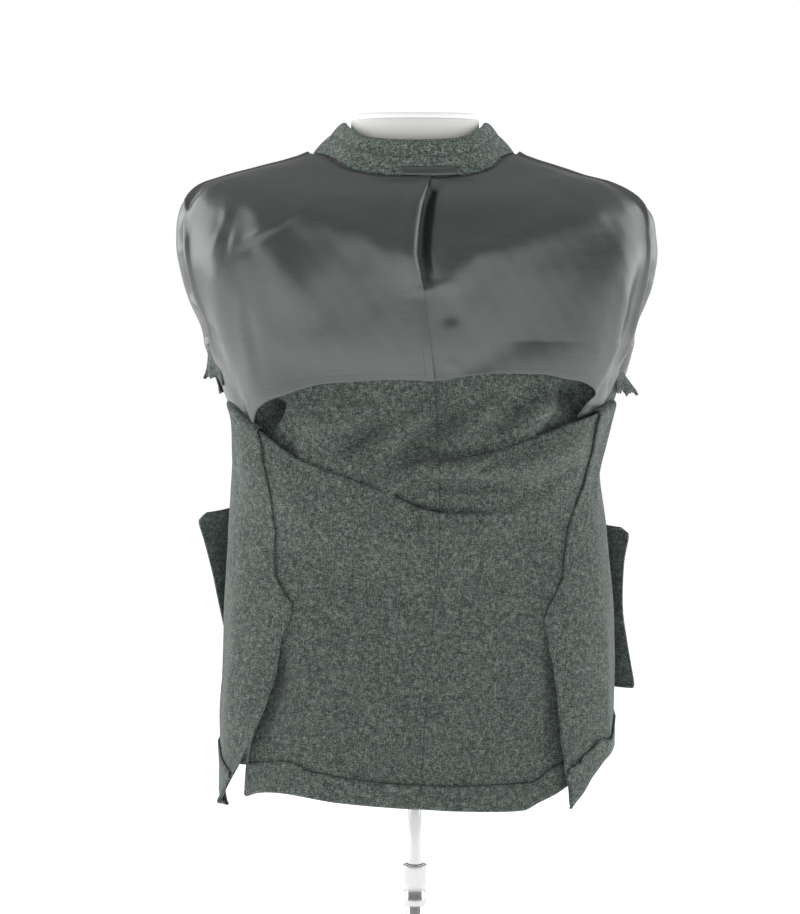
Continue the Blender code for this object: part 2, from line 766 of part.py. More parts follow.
def side_block(side):
    """The side panel, from its hem to the underarm."""
    lines = [line_at_x("side_" + SIDES[side]), outer_line(side),
             y_line(FRONT_SEAM_Y - UNDERLAP, side), y_line(FRONT_SEAM_Y, side)]
    lower = lower_block(lines, (0.0, 1.0, 1.25, 1.5, 1.75, 2.0, 3.0))
    top_s = lower[0][-1].copy()
    top_s[0] = seam_angle("side_" + SIDES[side], UNDERARM_Z)
    top_s[1] = armhole_angle(UNDERARM_Z - 0.003, side, False)
    _, y = ring_point(top_s, np.full(top_s.shape, UNDERARM_Z - 0.012))
    reach = np.clip((y - ARMHOLE_Y) / ARMHOLE_HALF_WIDTH, -1.0, 1.0)
    middle = (ARMHOLE_TOP + ARMHOLE_BOTTOM) / 2
    top_q = middle - (middle - ARMHOLE_BOTTOM) * np.sqrt(1 - reach ** 2)
    top_q = np.clip(top_q, ARMHOLE_BOTTOM, UNDERARM_Z - 0.002)
    return stacked([lower, (top_s[None], top_q[None])])


def front_block(side):
    """The front of one side, from the hem to the shoulder seam."""
    lines = [y_line(FRONT_SEAM_Y - UNDERLAP, side), y_line(FRONT_SEAM_Y, side),
             front_edge_line(side)]
    s, q = lower_block(lines, FRONT_COLUMNS)
    lower = s[list(FRONT_ROWS)], q[list(FRONT_ROWS)]
    share = np.array(FRONT_TOP_COLUMNS)
    s_rows, q_rows = [], []
    table = list(zip(column(FRONT_TOP_ROWS, "inner"), column(FRONT_TOP_ROWS, "outer")))
    for inner, outer in table[:-1]:
        start = armhole_angle(outer, side, True)
        end = front_edge_angle(inner, side)
        s_rows.append(start + (end - start) * share)
        q_rows.append(outer + (inner - outer) * share)
    inner, outer = table[-1]
    s_rows.append(side * 0.5 + 0.0 * share)
    q_rows.append(outer + (inner - outer) * share)
    return stacked([lower, (np.array(s_rows), np.array(q_rows))])


def wool_piece(name, block, offset, thickness=WOOL, finish="wool flannel"):
    """A wool piece on the body surface, moved out by its offset."""
    points, normals = layer(block, offset)
    return sheet(name, points, normals, thickness, finish)


def build_back(side):
    """A back panel and its hem turn-up."""
    block = back_block(side)
    panel = trimmed(block, left=EDGE_GAP, right=EDGE_GAP * 2, top=EDGE_GAP)
    wool_piece("back_" + SIDES[side], panel, 0.0)
    band = trimmed(cut_block(block, slice(0, 2), slice(0, 6)), left=EDGE_GAP, right=EDGE_GAP * 2)
    wool_piece("back_turn_up_" + SIDES[side], band, WOOL + GAP)


def build_side_panel(side):
    """A side panel over the edges of the back and the front, and its hem turn-up."""
    block = side_block(side)
    height = block[1]
    across = np.linspace(1, 0, height.shape[1]) ** 2
    flare = VENT_FLARE * smooth((VENT_TOP - height) / VENT_SPAN) * across
    offset = WOOL + GAP + flare + UNDERARM_EASE * smooth((height - EASE_FROM) / EASE_SPAN)
    wool_piece("side_panel_" + SIDES[side], block, offset)
    band = cut_block(block, slice(0, 2))
    wool_piece("side_turn_up_" + SIDES[side], band, offset[:2] + WOOL + GAP)
    build_underarm_tab(side)


def build_underarm_tab(side):
    """The ends of the seam allowances that stick out at the underarm."""
    off = np.stack([column(TAB, name) for name in ("off", "off_middle", "off_end")], axis=1)
    s = np.broadcast_to(side * np.array(TAB_ANGLES), off.shape)
    notch = np.array((1 / 3, 1.0, 0.0))
    q = column(TAB, "z")[:, None] - column(TAB, "ragged")[:, None] * notch
    wool_piece("underarm_tab_" + SIDES[side], (s, q - TAB_DROP * max(side, 0)), off)


def front_offset(block, side):
    """How far a front lies out of the body surface: the left passes over the right."""
    if side > 0:
        return np.zeros(block[0].shape)
    ramp = np.clip((np.array(FRONT_COLUMNS) - LAP_COLUMN) / LAP_COLUMNS, 0.0, 1.0)
    closed = smooth((LAP_TOP - block[1]) / LAP_SPAN)
    return LAP_STEP * ramp[None, :] * closed


def build_front(side):
    """A front with its turn-up, facing, lining, turned-in lapel and pocket bag."""
    block = front_block(side)
    offset = front_offset(block, side)
    name = SIDES[side]
    wool_piece("front_" + name, trimmed(block, right=EDGE_GAP, top=EDGE_GAP * 2), offset)
    rows, columns = slice(0, 2), slice(1, FACING_COLUMN + 1)
    band = trimmed(cut_block(block, rows, columns), left=EDGE_GAP * 2, right=EDGE_GAP)
    wool_piece("front_turn_up_" + name, band, offset[rows, columns] + WOOL + GAP)
    rows, columns = slice(0, None), slice(FACING_COLUMN, None)
    strip = trimmed(cut_block(block, rows, columns), left=EDGE_GAP, right=EDGE_GAP,
                    top=ROUND_EDGE)
    wool_piece("front_facing_" + name, strip, offset[rows, columns] + WOOL + GAP)
    rows = slice(CHEST_ROW, -2)
    leaf = trimmed(cut_block(block, rows, columns), right=EDGE_GAP)
    behind = offset[rows, columns] - WOOL / 2 - GAP - LAPEL_THICKNESS / 2
    wool_piece("lapel_" + name, leaf, behind, LAPEL_THICKNESS)
    build_front_lining(block, offset, side)
    build_pocket(block, offset, side)


def build_front_lining(block, front_out, side):
    """The satin of a front, from its hem above the pocket to the shoulder."""
    rows, columns = slice(CHEST_ROW, None), slice(0, FACING_COLUMN + 1)
    s, q = cut_block(block, rows, columns)
    q = q.copy()
    q[0] = FRONT_LINING_HEM
    lining = trimmed((s, q), right=EDGE_GAP * 4, top=EDGE_GAP * 2)
    offset = front_out[rows, columns] + LINING_OFF
    offset[:UNDERARM_ROWS, :2] += LINING_SIDE_OFF
    offset[-1] = front_out[-1, 0] + SEWN_OFF
    points, normals = layer(lining, offset)
    sheet("front_lining_" + SIDES[side], points, normals, SATIN, "satin lining")


def build_pocket(block, front_out, side):
    """A pocket bag hanging against the front, its outer end standing clear of the side."""
    table = POCKETS[side]
    inner_z, outer_z = column(table, "inner_z"), column(table, "outer_z")
    outer_x = column(table, "outer_x")
    columns = list(POCKET_COLUMNS)[::-1]
    count = len(inner_z)
    points = np.zeros((count, len(columns) + 1, 3))
    for c, place in enumerate(columns):
        share = c / len(columns)
        z = inner_z * (1 - share) + outer_z * share
        s = np.interp(z, block[1][:CHEST_ROW, place], block[0][:CHEST_ROW, place])
        out = WOOL / 2 + POCKET_THICKNESS / 2 + POCKET_OFF
        points[:, c] = layer((s, z), out)[0]
    points[:, -1] = np.stack([side * outer_x, np.full(count, POCKET_FREE_Y), outer_z], axis=-1)
    normals = grid_normals(points)
    sheet("pocket_bag_" + SIDES[side], points, normals, POCKET_THICKNESS, "pocket wool")


def build_back_lining(side):
    """Half of the back lining yoke; the left half lies over the right at the centre pleat."""
    s, q = back_top(side)
    outer_x = column(LINING_HEM, "x")[-1 if side > 0 else 0]
    start = angle_at_x(PLEAT_X, LINING_HEM_Z)
    end = angle_at_x(outer_x, LINING_HEM_Z)
    hem_s = start + (end - start) * np.array(BACK_COLUMNS)
    x, _ = ring_point(hem_s, np.full(hem_s.shape, LINING_HEM_Z))
    s = np.concatenate([hem_s[None], s])
    q = np.concatenate([curve(LINING_HEM, "z", x)[None], q])
    if side > 0:
        x, _ = ring_point(s[:, 0], q[:, 0])
        s = np.concatenate([angle_at_x(x - PLEAT_UNDER, q[:, 0])[:, None], s], axis=1)
        q = np.concatenate([q[:, :1], q], axis=1)
        x = np.concatenate([x[:1] - PLEAT_UNDER, ring_point(s[0, 1:], q[0, 1:])[0]])
    offset = np.full(s.shape, LINING_OFF)
    offset[0] = curve(LINING_HEM, "off", x)
    offset[1, 3:] = LINING_CORNER_OFF
    offset[2, -2:] += LINING_SIDE_OFF
    offset[-1] = SEWN_OFF
    if side < 0:
        offset[:, :2] += SATIN + 2 * GAP
    else:
        offset[-1, 0] = SEWN_OFF
    lining = trimmed((s, q), right=EDGE_GAP * 2, top=ROUND_EDGE)
    points, normals = layer(lining, offset)
    sheet("back_lining_" + SIDES[side], points, normals, SATIN, "satin lining")


def sleeve_rings(side, count=14):
    """Rings of a sleeve, hanging from its armhole down between the form and the coat."""
    theta = np.arange(count) * 2 * np.pi / count
    rings = []
    for outer_z, outer_in, inner_z, inner_in, mid_y, half_y in SLEEVE["rows"]:
        z = (outer_z + inner_z) / 2 + (outer_z - inner_z) / 2 * np.cos(theta)
        inset = (outer_in + inner_in) / 2 + (outer_in - inner_in) / 2 * np.cos(theta)
        y = mid_y + half_y * np.sin(theta)
        wall_x, _ = ring_point(angle_at_y(y, z, side), z)
        rings.append(np.stack([wall_x - side * inset, y, z], axis=-1))
    return np.array(rings)


def build_sleeve(side):
    """A wool sleeve, and the part of its lining seen in the armhole."""
    rings = sleeve_rings(side)
    normals = grid_normals(rings, closed=True)
    centre = rings.mean(axis=1, keepdims=True)
    if np.sum(normals * (rings - centre)) < 0:
        normals = -normals
    sheet("sleeve_" + SIDES[side], rings, normals, WOOL, "wool flannel", closed=True)
    part = slice(0, SLEEVE_LINING_ROWS)
    inside = rings[part] - normals[part] * (WOOL / 2 + GAP + SATIN / 2)
    sheet("sleeve_lining_" + SIDES[side], inside, normals[part], SATIN, "satin lining", closed=True)


def collar_lines():
    """The neck seam and the collar's top fold, from the left front end to the right."""
    foot, top = [], []
    for side in (-1, 1):
        back_s, back_q = back_top(side)
        front_s, front_q = front_block(side)
        s = np.concatenate([back_s[-1], front_s[[-2, -3, -4], -1]])
        q = np.concatenate([back_q[-1], front_q[[-2, -3, -4], -1]])
        t = np.concatenate([np.array(BACK_COLUMNS), [1.2, 1.4, 1.6]])
        edge = coat_surface(s, q)
        fold = np.stack([side * curve(COLLAR, "x", t), curve(COLLAR, "y", t),
                         curve(COLLAR, "z", t)], axis=-1)
        if side < 0:
            edge, fold = edge[::-1], fold[::-1]
            foot, top = list(edge[:-1]), list(fold[:-1])
        else:
            foot, top = foot + list(edge), top + list(fold)
    return np.array(foot), np.array(top)


def build_collar():
    """The collar stand, and the collar rolled over its top and down inside."""
    foot, top = collar_lines()
    rise = top - foot
    rise /= np.linalg.norm(rise, axis=-1, keepdims=True)
    foot = foot + rise * COLLAR_FOOT
    stand = np.array([foot + (top - foot) * v for v in STAND_SECTION])
    normals = grid_normals(stand)
    if np.sum(normals[..., :2] * stand[..., :2]) < 0:
        normals = -normals
    sheet("collar_stand", stand, normals, WOOL, "wool collar")
    build_hanger_loop(foot, top, normals[0])
    out = normals[-1]
    band = np.array([foot + (top - foot) * v - out * inside for v, inside in COLLAR_SECTION])
    turned_over = grid_normals(band)
    if np.sum(turned_over[0] * out) < 0:
        turned_over = -turned_over
    sheet("collar", band, turned_over, WOOL, "wool collar")


def build_hanger_loop(foot, top, normals):
    """The satin loop sewn flat along the foot of the collar stand at the centre back."""
    start, end = LOOP_ENDS
    middle = foot[:, 1] < 0
    x = foot[:, 0]
    inside = [value for value in x[middle] if start < value < end]
    places = np.array([start, *sorted(inside), end])
    order = np.argsort(x[middle])

    def along(values):
        chosen = values[middle][order]
        return np.stack([np.interp(places, x[middle][order], chosen[:, k]) for k in range(3)],
                        axis=-1)

    low, high, out = along(foot), along(top), along(normals)
    lift = WOOL / 2 + GAP + SATIN / 2
    strip = np.array([low + (high - low) * v + out * lift for v in LOOP_SECTION])
    sheet("hanger_loop", strip, np.broadcast_to(out, strip.shape), SATIN, "satin lining")


def build_buttons():
    """The two front buttons, on the side of the coat that faces the form."""
    for number, z in enumerate(BUTTON_HEIGHTS, start=1):
        _, _, centre_y, half_y, _ = section(np.array(z))
        y = centre_y + half_y - WOOL / 2 - BUTTON_GAP - BUTTON_THICKNESS / 2
        mesh = bpy.data.meshes.new(f"button_{number}")
        work = bmesh.new()
        bmesh.ops.create_cone(work, cap_ends=True, segments=20, radius1=BUTTON_RADIUS,
                              radius2=BUTTON_RADIUS, depth=BUTTON_THICKNESS)
        work.to_mesh(mesh)
        work.free()
        button = bpy.data.objects.new(f"button_{number}", mesh)
        button.rotation_euler = (math.pi / 2, 0.0, 0.0)
        button.location = (0.0, y, z)
        bpy.context.collection.objects.link(button)
        mesh.materials.append(material("horn button"))


# ---- The form and its stand ---------------------------------------------------------------------


def build_form():
    """The limbless torso and the cap on its neck."""
    rings = []
    for z, half, back, front in FORM["rows"]:
        ring = []
        for k in range(FORM_SEGMENTS):
            angle = 2 * math.pi * k / FORM_SEGMENTS
            power = 2 / 2.2
            sine, cosine = math.sin(angle), math.cos(angle)
            x = half * math.copysign(abs(sine) ** power, sine)
            reach = (front - back) / 2
            y = (front + back) / 2 - reach * math.copysign(abs(cosine) ** power, cosine)
            ring.append((x, y, z))
        rings.append(ring)
    rings_solid("form_torso", rings, "form jersey")
    top = FORM["rows"][-1][0] + FIT_GAP
    cap = []
    for height, scale in ((0.0, 0.985), (NECK_CAP_HEIGHT * 0.6, 0.985), (NECK_CAP_HEIGHT, 0.93)):
        cap.append([(x * scale, y * scale, top + height) for x, y, _ in rings[-1]])
    rings_solid("neck_cap", cap, "neck cap")


def build_stand():
    """Base, outer tube, clamp and mast."""
    foot = BASE_THICKNESS
    outline = [(BASE_RADIUS - 0.0015, 0.0), (BASE_RADIUS, 0.0015), (BASE_RADIUS, foot - 0.003),
               (BASE_RADIUS - 0.003, foot - 0.0005), (BASE_RADIUS - 0.010, foot)]
    steps = [2 * math.pi * k / BASE_SEGMENTS for k in range(BASE_SEGMENTS)]
    rings_solid("base_plate", [[(r * math.cos(t), r * math.sin(t), z) for t in steps]
                               for r, z in outline], "base steel")
    socket_bore = TUBE_RADIUS + FIT_GAP
    floor = foot + FIT_GAP
    turned("base_socket", [(socket_bore, floor), (0.032, floor), (0.032, floor + 0.002),
                           (0.018, floor + 0.008), (0.015, floor + 0.022),
                           (socket_bore, floor + 0.022)], "chrome")
    bore = MAST_RADIUS + RUNNING_GAP
    turned("outer_tube", [(bore, floor), (TUBE_RADIUS, floor), (TUBE_RADIUS, TUBE_TOP),
                          (bore, TUBE_TOP)], "chrome")
    high = TUBE_TOP + CLAMP_LIP
    low = high - CLAMP_HEIGHT
    bevel = 0.001
    turned("clamp_collar", [(socket_bore, low), (CLAMP_RADIUS - bevel, low),
                            (CLAMP_RADIUS, low + bevel), (CLAMP_RADIUS, high - bevel),
                            (CLAMP_RADIUS - bevel, high), (bore + bevel, high),
                            (bore, TUBE_TOP + FIT_GAP), (socket_bore, TUBE_TOP + FIT_GAP)],
           "chrome")
    build_clamp_screw((low + high) / 2)
    mast_top = FORM["rows"][0][0] - FIT_GAP
    turned("mast", [(MAST_RADIUS - TUBE_WALL, MAST_BOTTOM), (MAST_RADIUS, MAST_BOTTOM),
                    (MAST_RADIUS, mast_top), (MAST_RADIUS - TUBE_WALL, mast_top)], "chrome")
    flange_bore = MAST_RADIUS + FIT_GAP
    turned("form_flange", [(flange_bore, mast_top - 0.022), (0.012, mast_top - 0.022),
                           (0.014, mast_top - 0.006), (0.040, mast_top - 0.004),
                           (0.040, mast_top), (flange_bore, mast_top)], "chrome", 28)


def build_clamp_screw(z):
    """The thumb screw at the front of the clamp."""
    start = CLAMP_RADIUS + FIT_GAP
    profile = [(0.0030, 0.0), (0.0030, 0.010), (0.0090, 0.0101), (0.0100, 0.012),
               (0.0100, 0.018), (0.0085, 0.020)]
    segments = 16
    rings = []
    for radius, along in profile:
        rings.append([(radius * math.cos(2 * math.pi * k / segments), start + along,
                       z + radius * math.sin(2 * math.pi * k / segments))
                      for k in range(segments)])
    rings_solid("clamp_screw", rings, "chrome")


def main():
    """Clear the scene and build everything."""
    for old in list(bpy.data.objects):
        bpy.data.objects.remove(old, do_unlink=True)
    build_stand()
    build_form()
    for side in SIDES:
        build_back(side)
        build_side_panel(side)
        build_front(side)
        build_back_lining(side)
        build_sleeve(side)
    build_collar()
    build_buttons()


main()
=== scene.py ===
"""The finished looks of a man's sport coat worn inside out on a limbless dress form.

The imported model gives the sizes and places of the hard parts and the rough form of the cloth.
Here each cloth piece is cut again as a thin shell on the same body surface, with its folds,
creases, turned edges and stitches, and every piece gets its cloth, metal or moulded finish.

Units are metres and +Z is up.  The coat's back faces -Y and its fronts face +Y.  The body
surface is surface(s, q): the angle s is 0 at the centre back, +0.5 at the right side, -0.5 at
the left side and +1 or -1 at the centre front; the height q is measured down the cloth.
"""

import math

import bpy
import numpy as np
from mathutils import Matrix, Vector


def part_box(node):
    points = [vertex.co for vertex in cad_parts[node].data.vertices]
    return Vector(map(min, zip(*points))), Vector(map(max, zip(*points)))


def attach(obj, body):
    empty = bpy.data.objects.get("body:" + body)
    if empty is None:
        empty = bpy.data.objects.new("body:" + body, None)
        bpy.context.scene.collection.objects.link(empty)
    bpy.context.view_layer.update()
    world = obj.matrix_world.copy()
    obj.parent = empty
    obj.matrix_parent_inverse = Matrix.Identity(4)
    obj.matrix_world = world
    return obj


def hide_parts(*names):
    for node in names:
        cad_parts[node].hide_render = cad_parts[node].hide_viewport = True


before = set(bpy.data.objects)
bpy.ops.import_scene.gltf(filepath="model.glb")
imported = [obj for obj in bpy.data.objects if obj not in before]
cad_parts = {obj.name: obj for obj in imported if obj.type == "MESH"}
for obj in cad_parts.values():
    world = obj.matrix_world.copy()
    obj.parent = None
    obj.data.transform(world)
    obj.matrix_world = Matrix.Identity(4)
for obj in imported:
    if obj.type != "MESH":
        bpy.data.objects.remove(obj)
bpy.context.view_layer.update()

bl_info = {
    "name": "Inside-out sport coat on a dress form",
    "version": (1, 0, 0),
    "blender": (4, 5, 0),
    "location": "View3D > Sidebar > Coat",
    "description": "Makes the cloth, lining, form and stand of a sport coat worn inside out",
    "category": "Object",
}

COAT_BODY = "form_and_coat"
STAND_BODY = "stand"
SIDES = {-1: "left", 1: "right"}

# ---- Sizes -------------------------------------------------------------------------------------

WOOL = 0.0020            # the flannel's thickness
SATIN = 0.0007           # the lining's thickness
GAP = 0.0004             # clear space between two layers of cloth
EDGE_GAP = 0.00035       # how far a piece stops short of a seam that it shares
UNDERLAP = 0.012         # seam allowance that runs under the side panel
FOLD_Z = 0.710           # the folds' middle height, where their places across are read
FOLD_RISE = 0.68         # how far a fold swings the cloth up and down, as a share of its half height
FOLD_LIP = 0.26          # how far a fold's edge lies from its middle, as a share of its half height
FOLD_FADE = (0.105, 0.085)   # how far below a fold its cloth is back in, and in what height
ROLL_FADE = (0.006, 0.014)   # how far above the roll its cloth starts to go back in, and the height
FOLD_TAIL = (0.40, 0.11)     # the angle at which the folds start to fade out, and how far that goes
FOLD_MOUTH = 0.0042      # how far the cloth above a fold stays behind the fold's face
FOLD_LEAN = 0.042        # the height in which that cloth leans back to the body
FOLD_CORNER = (0.108, 0.022)     # where the hollow corners start, and in what width
FOLD_FOOT = 0.620        # the rows are close together from here
FOLD_HEAD = 0.800        # up to here
LAP_STEP = 0.0062        # how far the left front stands off the right where they overlap
COARSE = 0.0042          # spacing of the rows of cloth away from the waist folds
FINE = 0.0014            # and in them
COLUMN = 0.0034          # spacing of the columns of cloth

# ---- Tables: one row per section ---------------------------------------------------------------

# Horizontal sections of the wool body, from the hem to the top of the shoulders.
BODY = {
    "columns": ("z", "left", "right", "back", "front", "square"),
    "rows": (
        (0.335, -0.1960, 0.1970, -0.131, 0.142, 2.7),
        (0.385, -0.2022, 0.2038, -0.131, 0.141, 2.7),
        (0.424, -0.2042, 0.2068, -0.130, 0.139, 2.7),
        (0.488, -0.2015, 0.2090, -0.127, 0.136, 2.7),
        (0.545, -0.1990, 0.2070, -0.124, 0.134, 2.7),
        (0.620, -0.1945, 0.2000, -0.119, 0.132, 2.7),
        (0.702, -0.1885, 0.1910, -0.118, 0.133, 2.7),
        (0.744, -0.1865, 0.1980, -0.120, 0.135, 2.7),
        (0.780, -0.1995, 0.2110, -0.123, 0.137, 2.7),
        (0.829, -0.2160, 0.2250, -0.128, 0.138, 2.6),
        (0.892, -0.2460, 0.2530, -0.128, 0.132, 2.5),
        (0.935, -0.2530, 0.2560, -0.122, 0.120, 2.4),
        (0.971, -0.2460, 0.2400, -0.109, 0.100, 2.3),
        (0.9875, -0.2200, 0.2020, -0.098, 0.086, 2.2),
        (0.9975, -0.1930, 0.1710, -0.087, 0.076, 2.1),
        (1.0070, -0.1610, 0.1460, -0.078, 0.066, 2.05),
        (1.0165, -0.1270, 0.1180, -0.066, 0.054, 2.0),
        (1.0247, -0.1070, 0.1035, -0.052, 0.040, 2.0),
    ),
}

# The waist folds across the back: where the edge of each runs, half the height of cloth it takes
# up, how fully it turns over and how far the proud side stands out.  In the first two the lower
# cloth lies over the upper; in the last the upper cloth hangs over the lower as a soft roll.
FOLD_LEFT = {
    "columns": ("x", "z", "half", "turn", "out"),
    "rows": (
        (-0.192, 0.7740, 0.018, 0.60, 0.0010),
        (-0.178, 0.7630, 0.020, 0.85, 0.0090),
        (-0.165, 0.7495, 0.022, 1.00, 0.0140),
        (-0.150, 0.7375, 0.022, 1.00, 0.0150),
        (-0.118, 0.7150, 0.022, 1.00, 0.0150),
        (-0.077, 0.6970, 0.022, 1.00, 0.0145),
        (-0.031, 0.6800, 0.022, 1.00, 0.0140),
        (-0.011, 0.6720, 0.020, 0.80, 0.0120),
        (0.025, 0.6620, 0.018, 0.55, 0.0090),
        (0.066, 0.6610, 0.018, 0.36, 0.0060),
        (0.096, 0.6680, 0.018, 0.16, 0.0034),
        (0.127, 0.6800, 0.018, 0.00, 0.0010),
        (0.150, 0.6900, 0.018, 0.00, 0.0000),
    ),
}
FOLD_RIGHT = {
    "columns": ("x", "z", "half", "turn", "out"),
    "rows": (
        (-0.020, 0.7040, 0.009, 0.00, 0.0000),
        (0.015, 0.7070, 0.009, 0.30, 0.0018),
        (0.041, 0.7090, 0.010, 0.70, 0.0040),
        (0.0555, 0.7130, 0.012, 0.90, 0.0065),
        (0.076, 0.7190, 0.015, 1.00, 0.0085),
        (0.105, 0.7290, 0.018, 1.00, 0.0115),
        (0.141, 0.7450, 0.020, 1.00, 0.0135),
        (0.165, 0.7540, 0.020, 1.00, 0.0120),
        (0.194, 0.7700, 0.018, 0.75, 0.0040),
    ),
}
ROLL = {
    "columns": ("x", "z", "half", "turn", "out"),
    "rows": (
        (-0.060, 0.6810, 0.008, 0.00, 0.0000),
        (-0.031, 0.6820, 0.008, 0.45, 0.0030),
        (-0.016, 0.6840, 0.009, 0.90, 0.0060),
        (0.015, 0.6900, 0.009, 1.00, 0.0080),
        (0.045, 0.6950, 0.009, 1.00, 0.0075),
        (0.066, 0.7000, 0.008, 0.65, 0.0050),
        (0.085, 0.7040, 0.008, 0.20, 0.0020),
        (0.115, 0.7090, 0.008, 0.00, 0.0000),
    ),
}

# Where the centre seam and the side panels' back edges run, and the free edges of the vents.
SEAMS = {
    "columns": ("z", "centre", "side_left", "side_right", "back_left", "back_right"),
    "rows": (
        (0.340, 0.003, -0.195, 0.152, -0.177, 0.178),
        (0.385, 0.006, -0.177, 0.148, -0.174, 0.172),
        (0.420, 0.008, -0.164, 0.146, -0.170, 0.167),
        (0.488, 0.013, -0.144, 0.143, -0.159, 0.160),
        (0.5220, 0.0165, -0.1375, 0.1362, -0.1510, 0.1540),
        (0.5475, 0.0182, -0.1288, 0.1330, -0.1464, 0.1510),
        (0.5600, 0.0192, -0.1258, 0.1375, -0.1480, 0.1540),
        (0.5720, 0.0200, -0.1335, 0.1440, -0.1505, 0.1590),
        (0.5860, 0.0210, -0.1412, 0.1492, -0.1535, 0.1625),
        (0.6060, 0.0222, -0.1445, 0.1525, -0.1570, 0.1660),
        (0.640, 0.023, -0.142, 0.158, -0.157, 0.172),
        (0.680, 0.023, -0.139, 0.168, -0.154, 0.182),
        (0.740, 0.022, -0.155, 0.174, -0.169, 0.188),
        (0.800, 0.020, -0.182, 0.187, -0.195, 0.202),
        (0.832, 0.018, -0.203, 0.212, -0.209, 0.218),
        (0.998, 0.014, -0.203, 0.212, -0.209, 0.218),
    ),
}

# The hem's height round the side panels and the fronts, and across the backs.
HEM = {
    "columns": ("s", "z"),
    "rows": (
        (-1.060, 0.368),
        (-0.750, 0.376),
        (-0.550, 0.3745),
        (-0.500, 0.3730),
        (-0.465, 0.3660),
        (-0.430, 0.3550),
        (-0.405, 0.3500),
        (-0.380, 0.3490),
        (0.240, 0.3540),
        (0.250, 0.3580),
        (0.273, 0.3655),
        (0.312, 0.3825),
        (0.3635, 0.3955),
        (0.430, 0.4010),
        (0.500, 0.4035),
        (0.600, 0.4000),
        (0.750, 0.388),
        (1.060, 0.368),
    ),
}
BACK_HEM = {
    "columns": ("s", "z"),
    "rows": (
        (-0.350, 0.3560),
        (-0.317, 0.3600),
        (-0.280, 0.3650),
        (-0.201, 0.3680),
        (-0.147, 0.3650),
        (-0.107, 0.3620),
        (-0.032, 0.3575),
        (0.041, 0.3530),
        (0.149, 0.3520),
        (0.179, 0.3590),
        (0.211, 0.3650),
        (0.243, 0.3720),
        (0.330, 0.3860),
    ),
}

# The upper edge of the hem turn-up across the back, and round the side panels by their depth.
BACK_TURN_UP = {
    "columns": ("x", "z"),
    "rows": (
        (-0.180, 0.3910),
        (-0.173, 0.3930),
        (-0.161, 0.3950),
        (-0.140, 0.3980),
        (-0.1275, 0.3970),
        (-0.115, 0.3910),
        (-0.088, 0.3860),
        (-0.036, 0.3790),
        (0.025, 0.3760),
        (0.107, 0.3770),
        (0.129, 0.3820),
        (0.136, 0.3880),
        (0.151, 0.3950),
        (0.180, 0.3990),
    ),
}
SIDE_TURN_UP = {
    -1: {
        "columns": ("share", "rise"),
        "rows": ((0.0, 0.028), (0.15, 0.034), (0.35, 0.038), (0.55, 0.034), (1.0, 0.030)),
    },
    1: {
        "columns": ("share", "rise"),
        "rows": (
            (0.00, 0.033), (0.08, 0.035), (0.16, 0.030), (0.24, 0.029), (0.33, 0.026),
            (0.42, 0.022), (0.50, 0.016), (0.60, 0.018), (0.75, 0.026), (1.00, 0.030),
        ),
    },
}

# The neck seam on the back, from the centre to the shoulder seam.
NECK = {
    "columns": ("s", "z"),
    "rows": (
        (0.000, 0.9977),
        (0.053, 0.9987),
        (0.100, 1.0018),
        (0.151, 1.0068),
        (0.216, 1.0140),
        (0.296, 1.0205),
        (0.430, 1.0243),
        (0.500, 1.0247),
    ),
}

# How far each front's edge lies from the centre front, on its own side.
FRONT_EDGE = {
    "columns": ("z", "x"),
    "rows": (
        (0.345, 0.062),
        (0.372, 0.020),
        (0.410, -0.006),
        (0.460, -0.018),
        (0.700, -0.020),
        (0.760, 0.004),
        (0.860, 0.038),
        (0.950, 0.076),
        (1.0247, 0.106),
    ),
}

# The armhole lies square across the side of the body.
ARMHOLE_BOTTOM = 0.806
ARMHOLE_TOP = 0.9865
ARMHOLE_Y = -0.012
ARMHOLE_HALF_WIDTH = 0.048
FRONT_SEAM_Y = 0.022     # the seam between the side panel and the front
UNDERARM_Z = 0.832       # where the side panel's back corner meets the armhole

# Rows of the upper body above the underarm: heights at the middle and at the outer edge.
BACK_TOP_ROWS = {
    "columns": ("middle", "outer"),
    "rows": (
        (0.832, 0.832),
        (0.870, 0.872),
        (0.905, 0.912),
        (0.938, 0.950),
        (0.963, 0.978),
        (0.980, 0.9965),
        (0.990, 1.0105),
        (0.9977, 1.0240),
    ),
}
FRONT_TOP_ROWS = {
    "columns": ("outer", "inner"),
    "rows": (
        (0.8320, 0.836),
        (0.8720, 0.888),
        (0.9120, 0.936),
        (0.9500, 0.978),
        (0.9720, 1.006),
        (0.9825, 1.017),
        (0.9872, 1.0240),
    ),
}

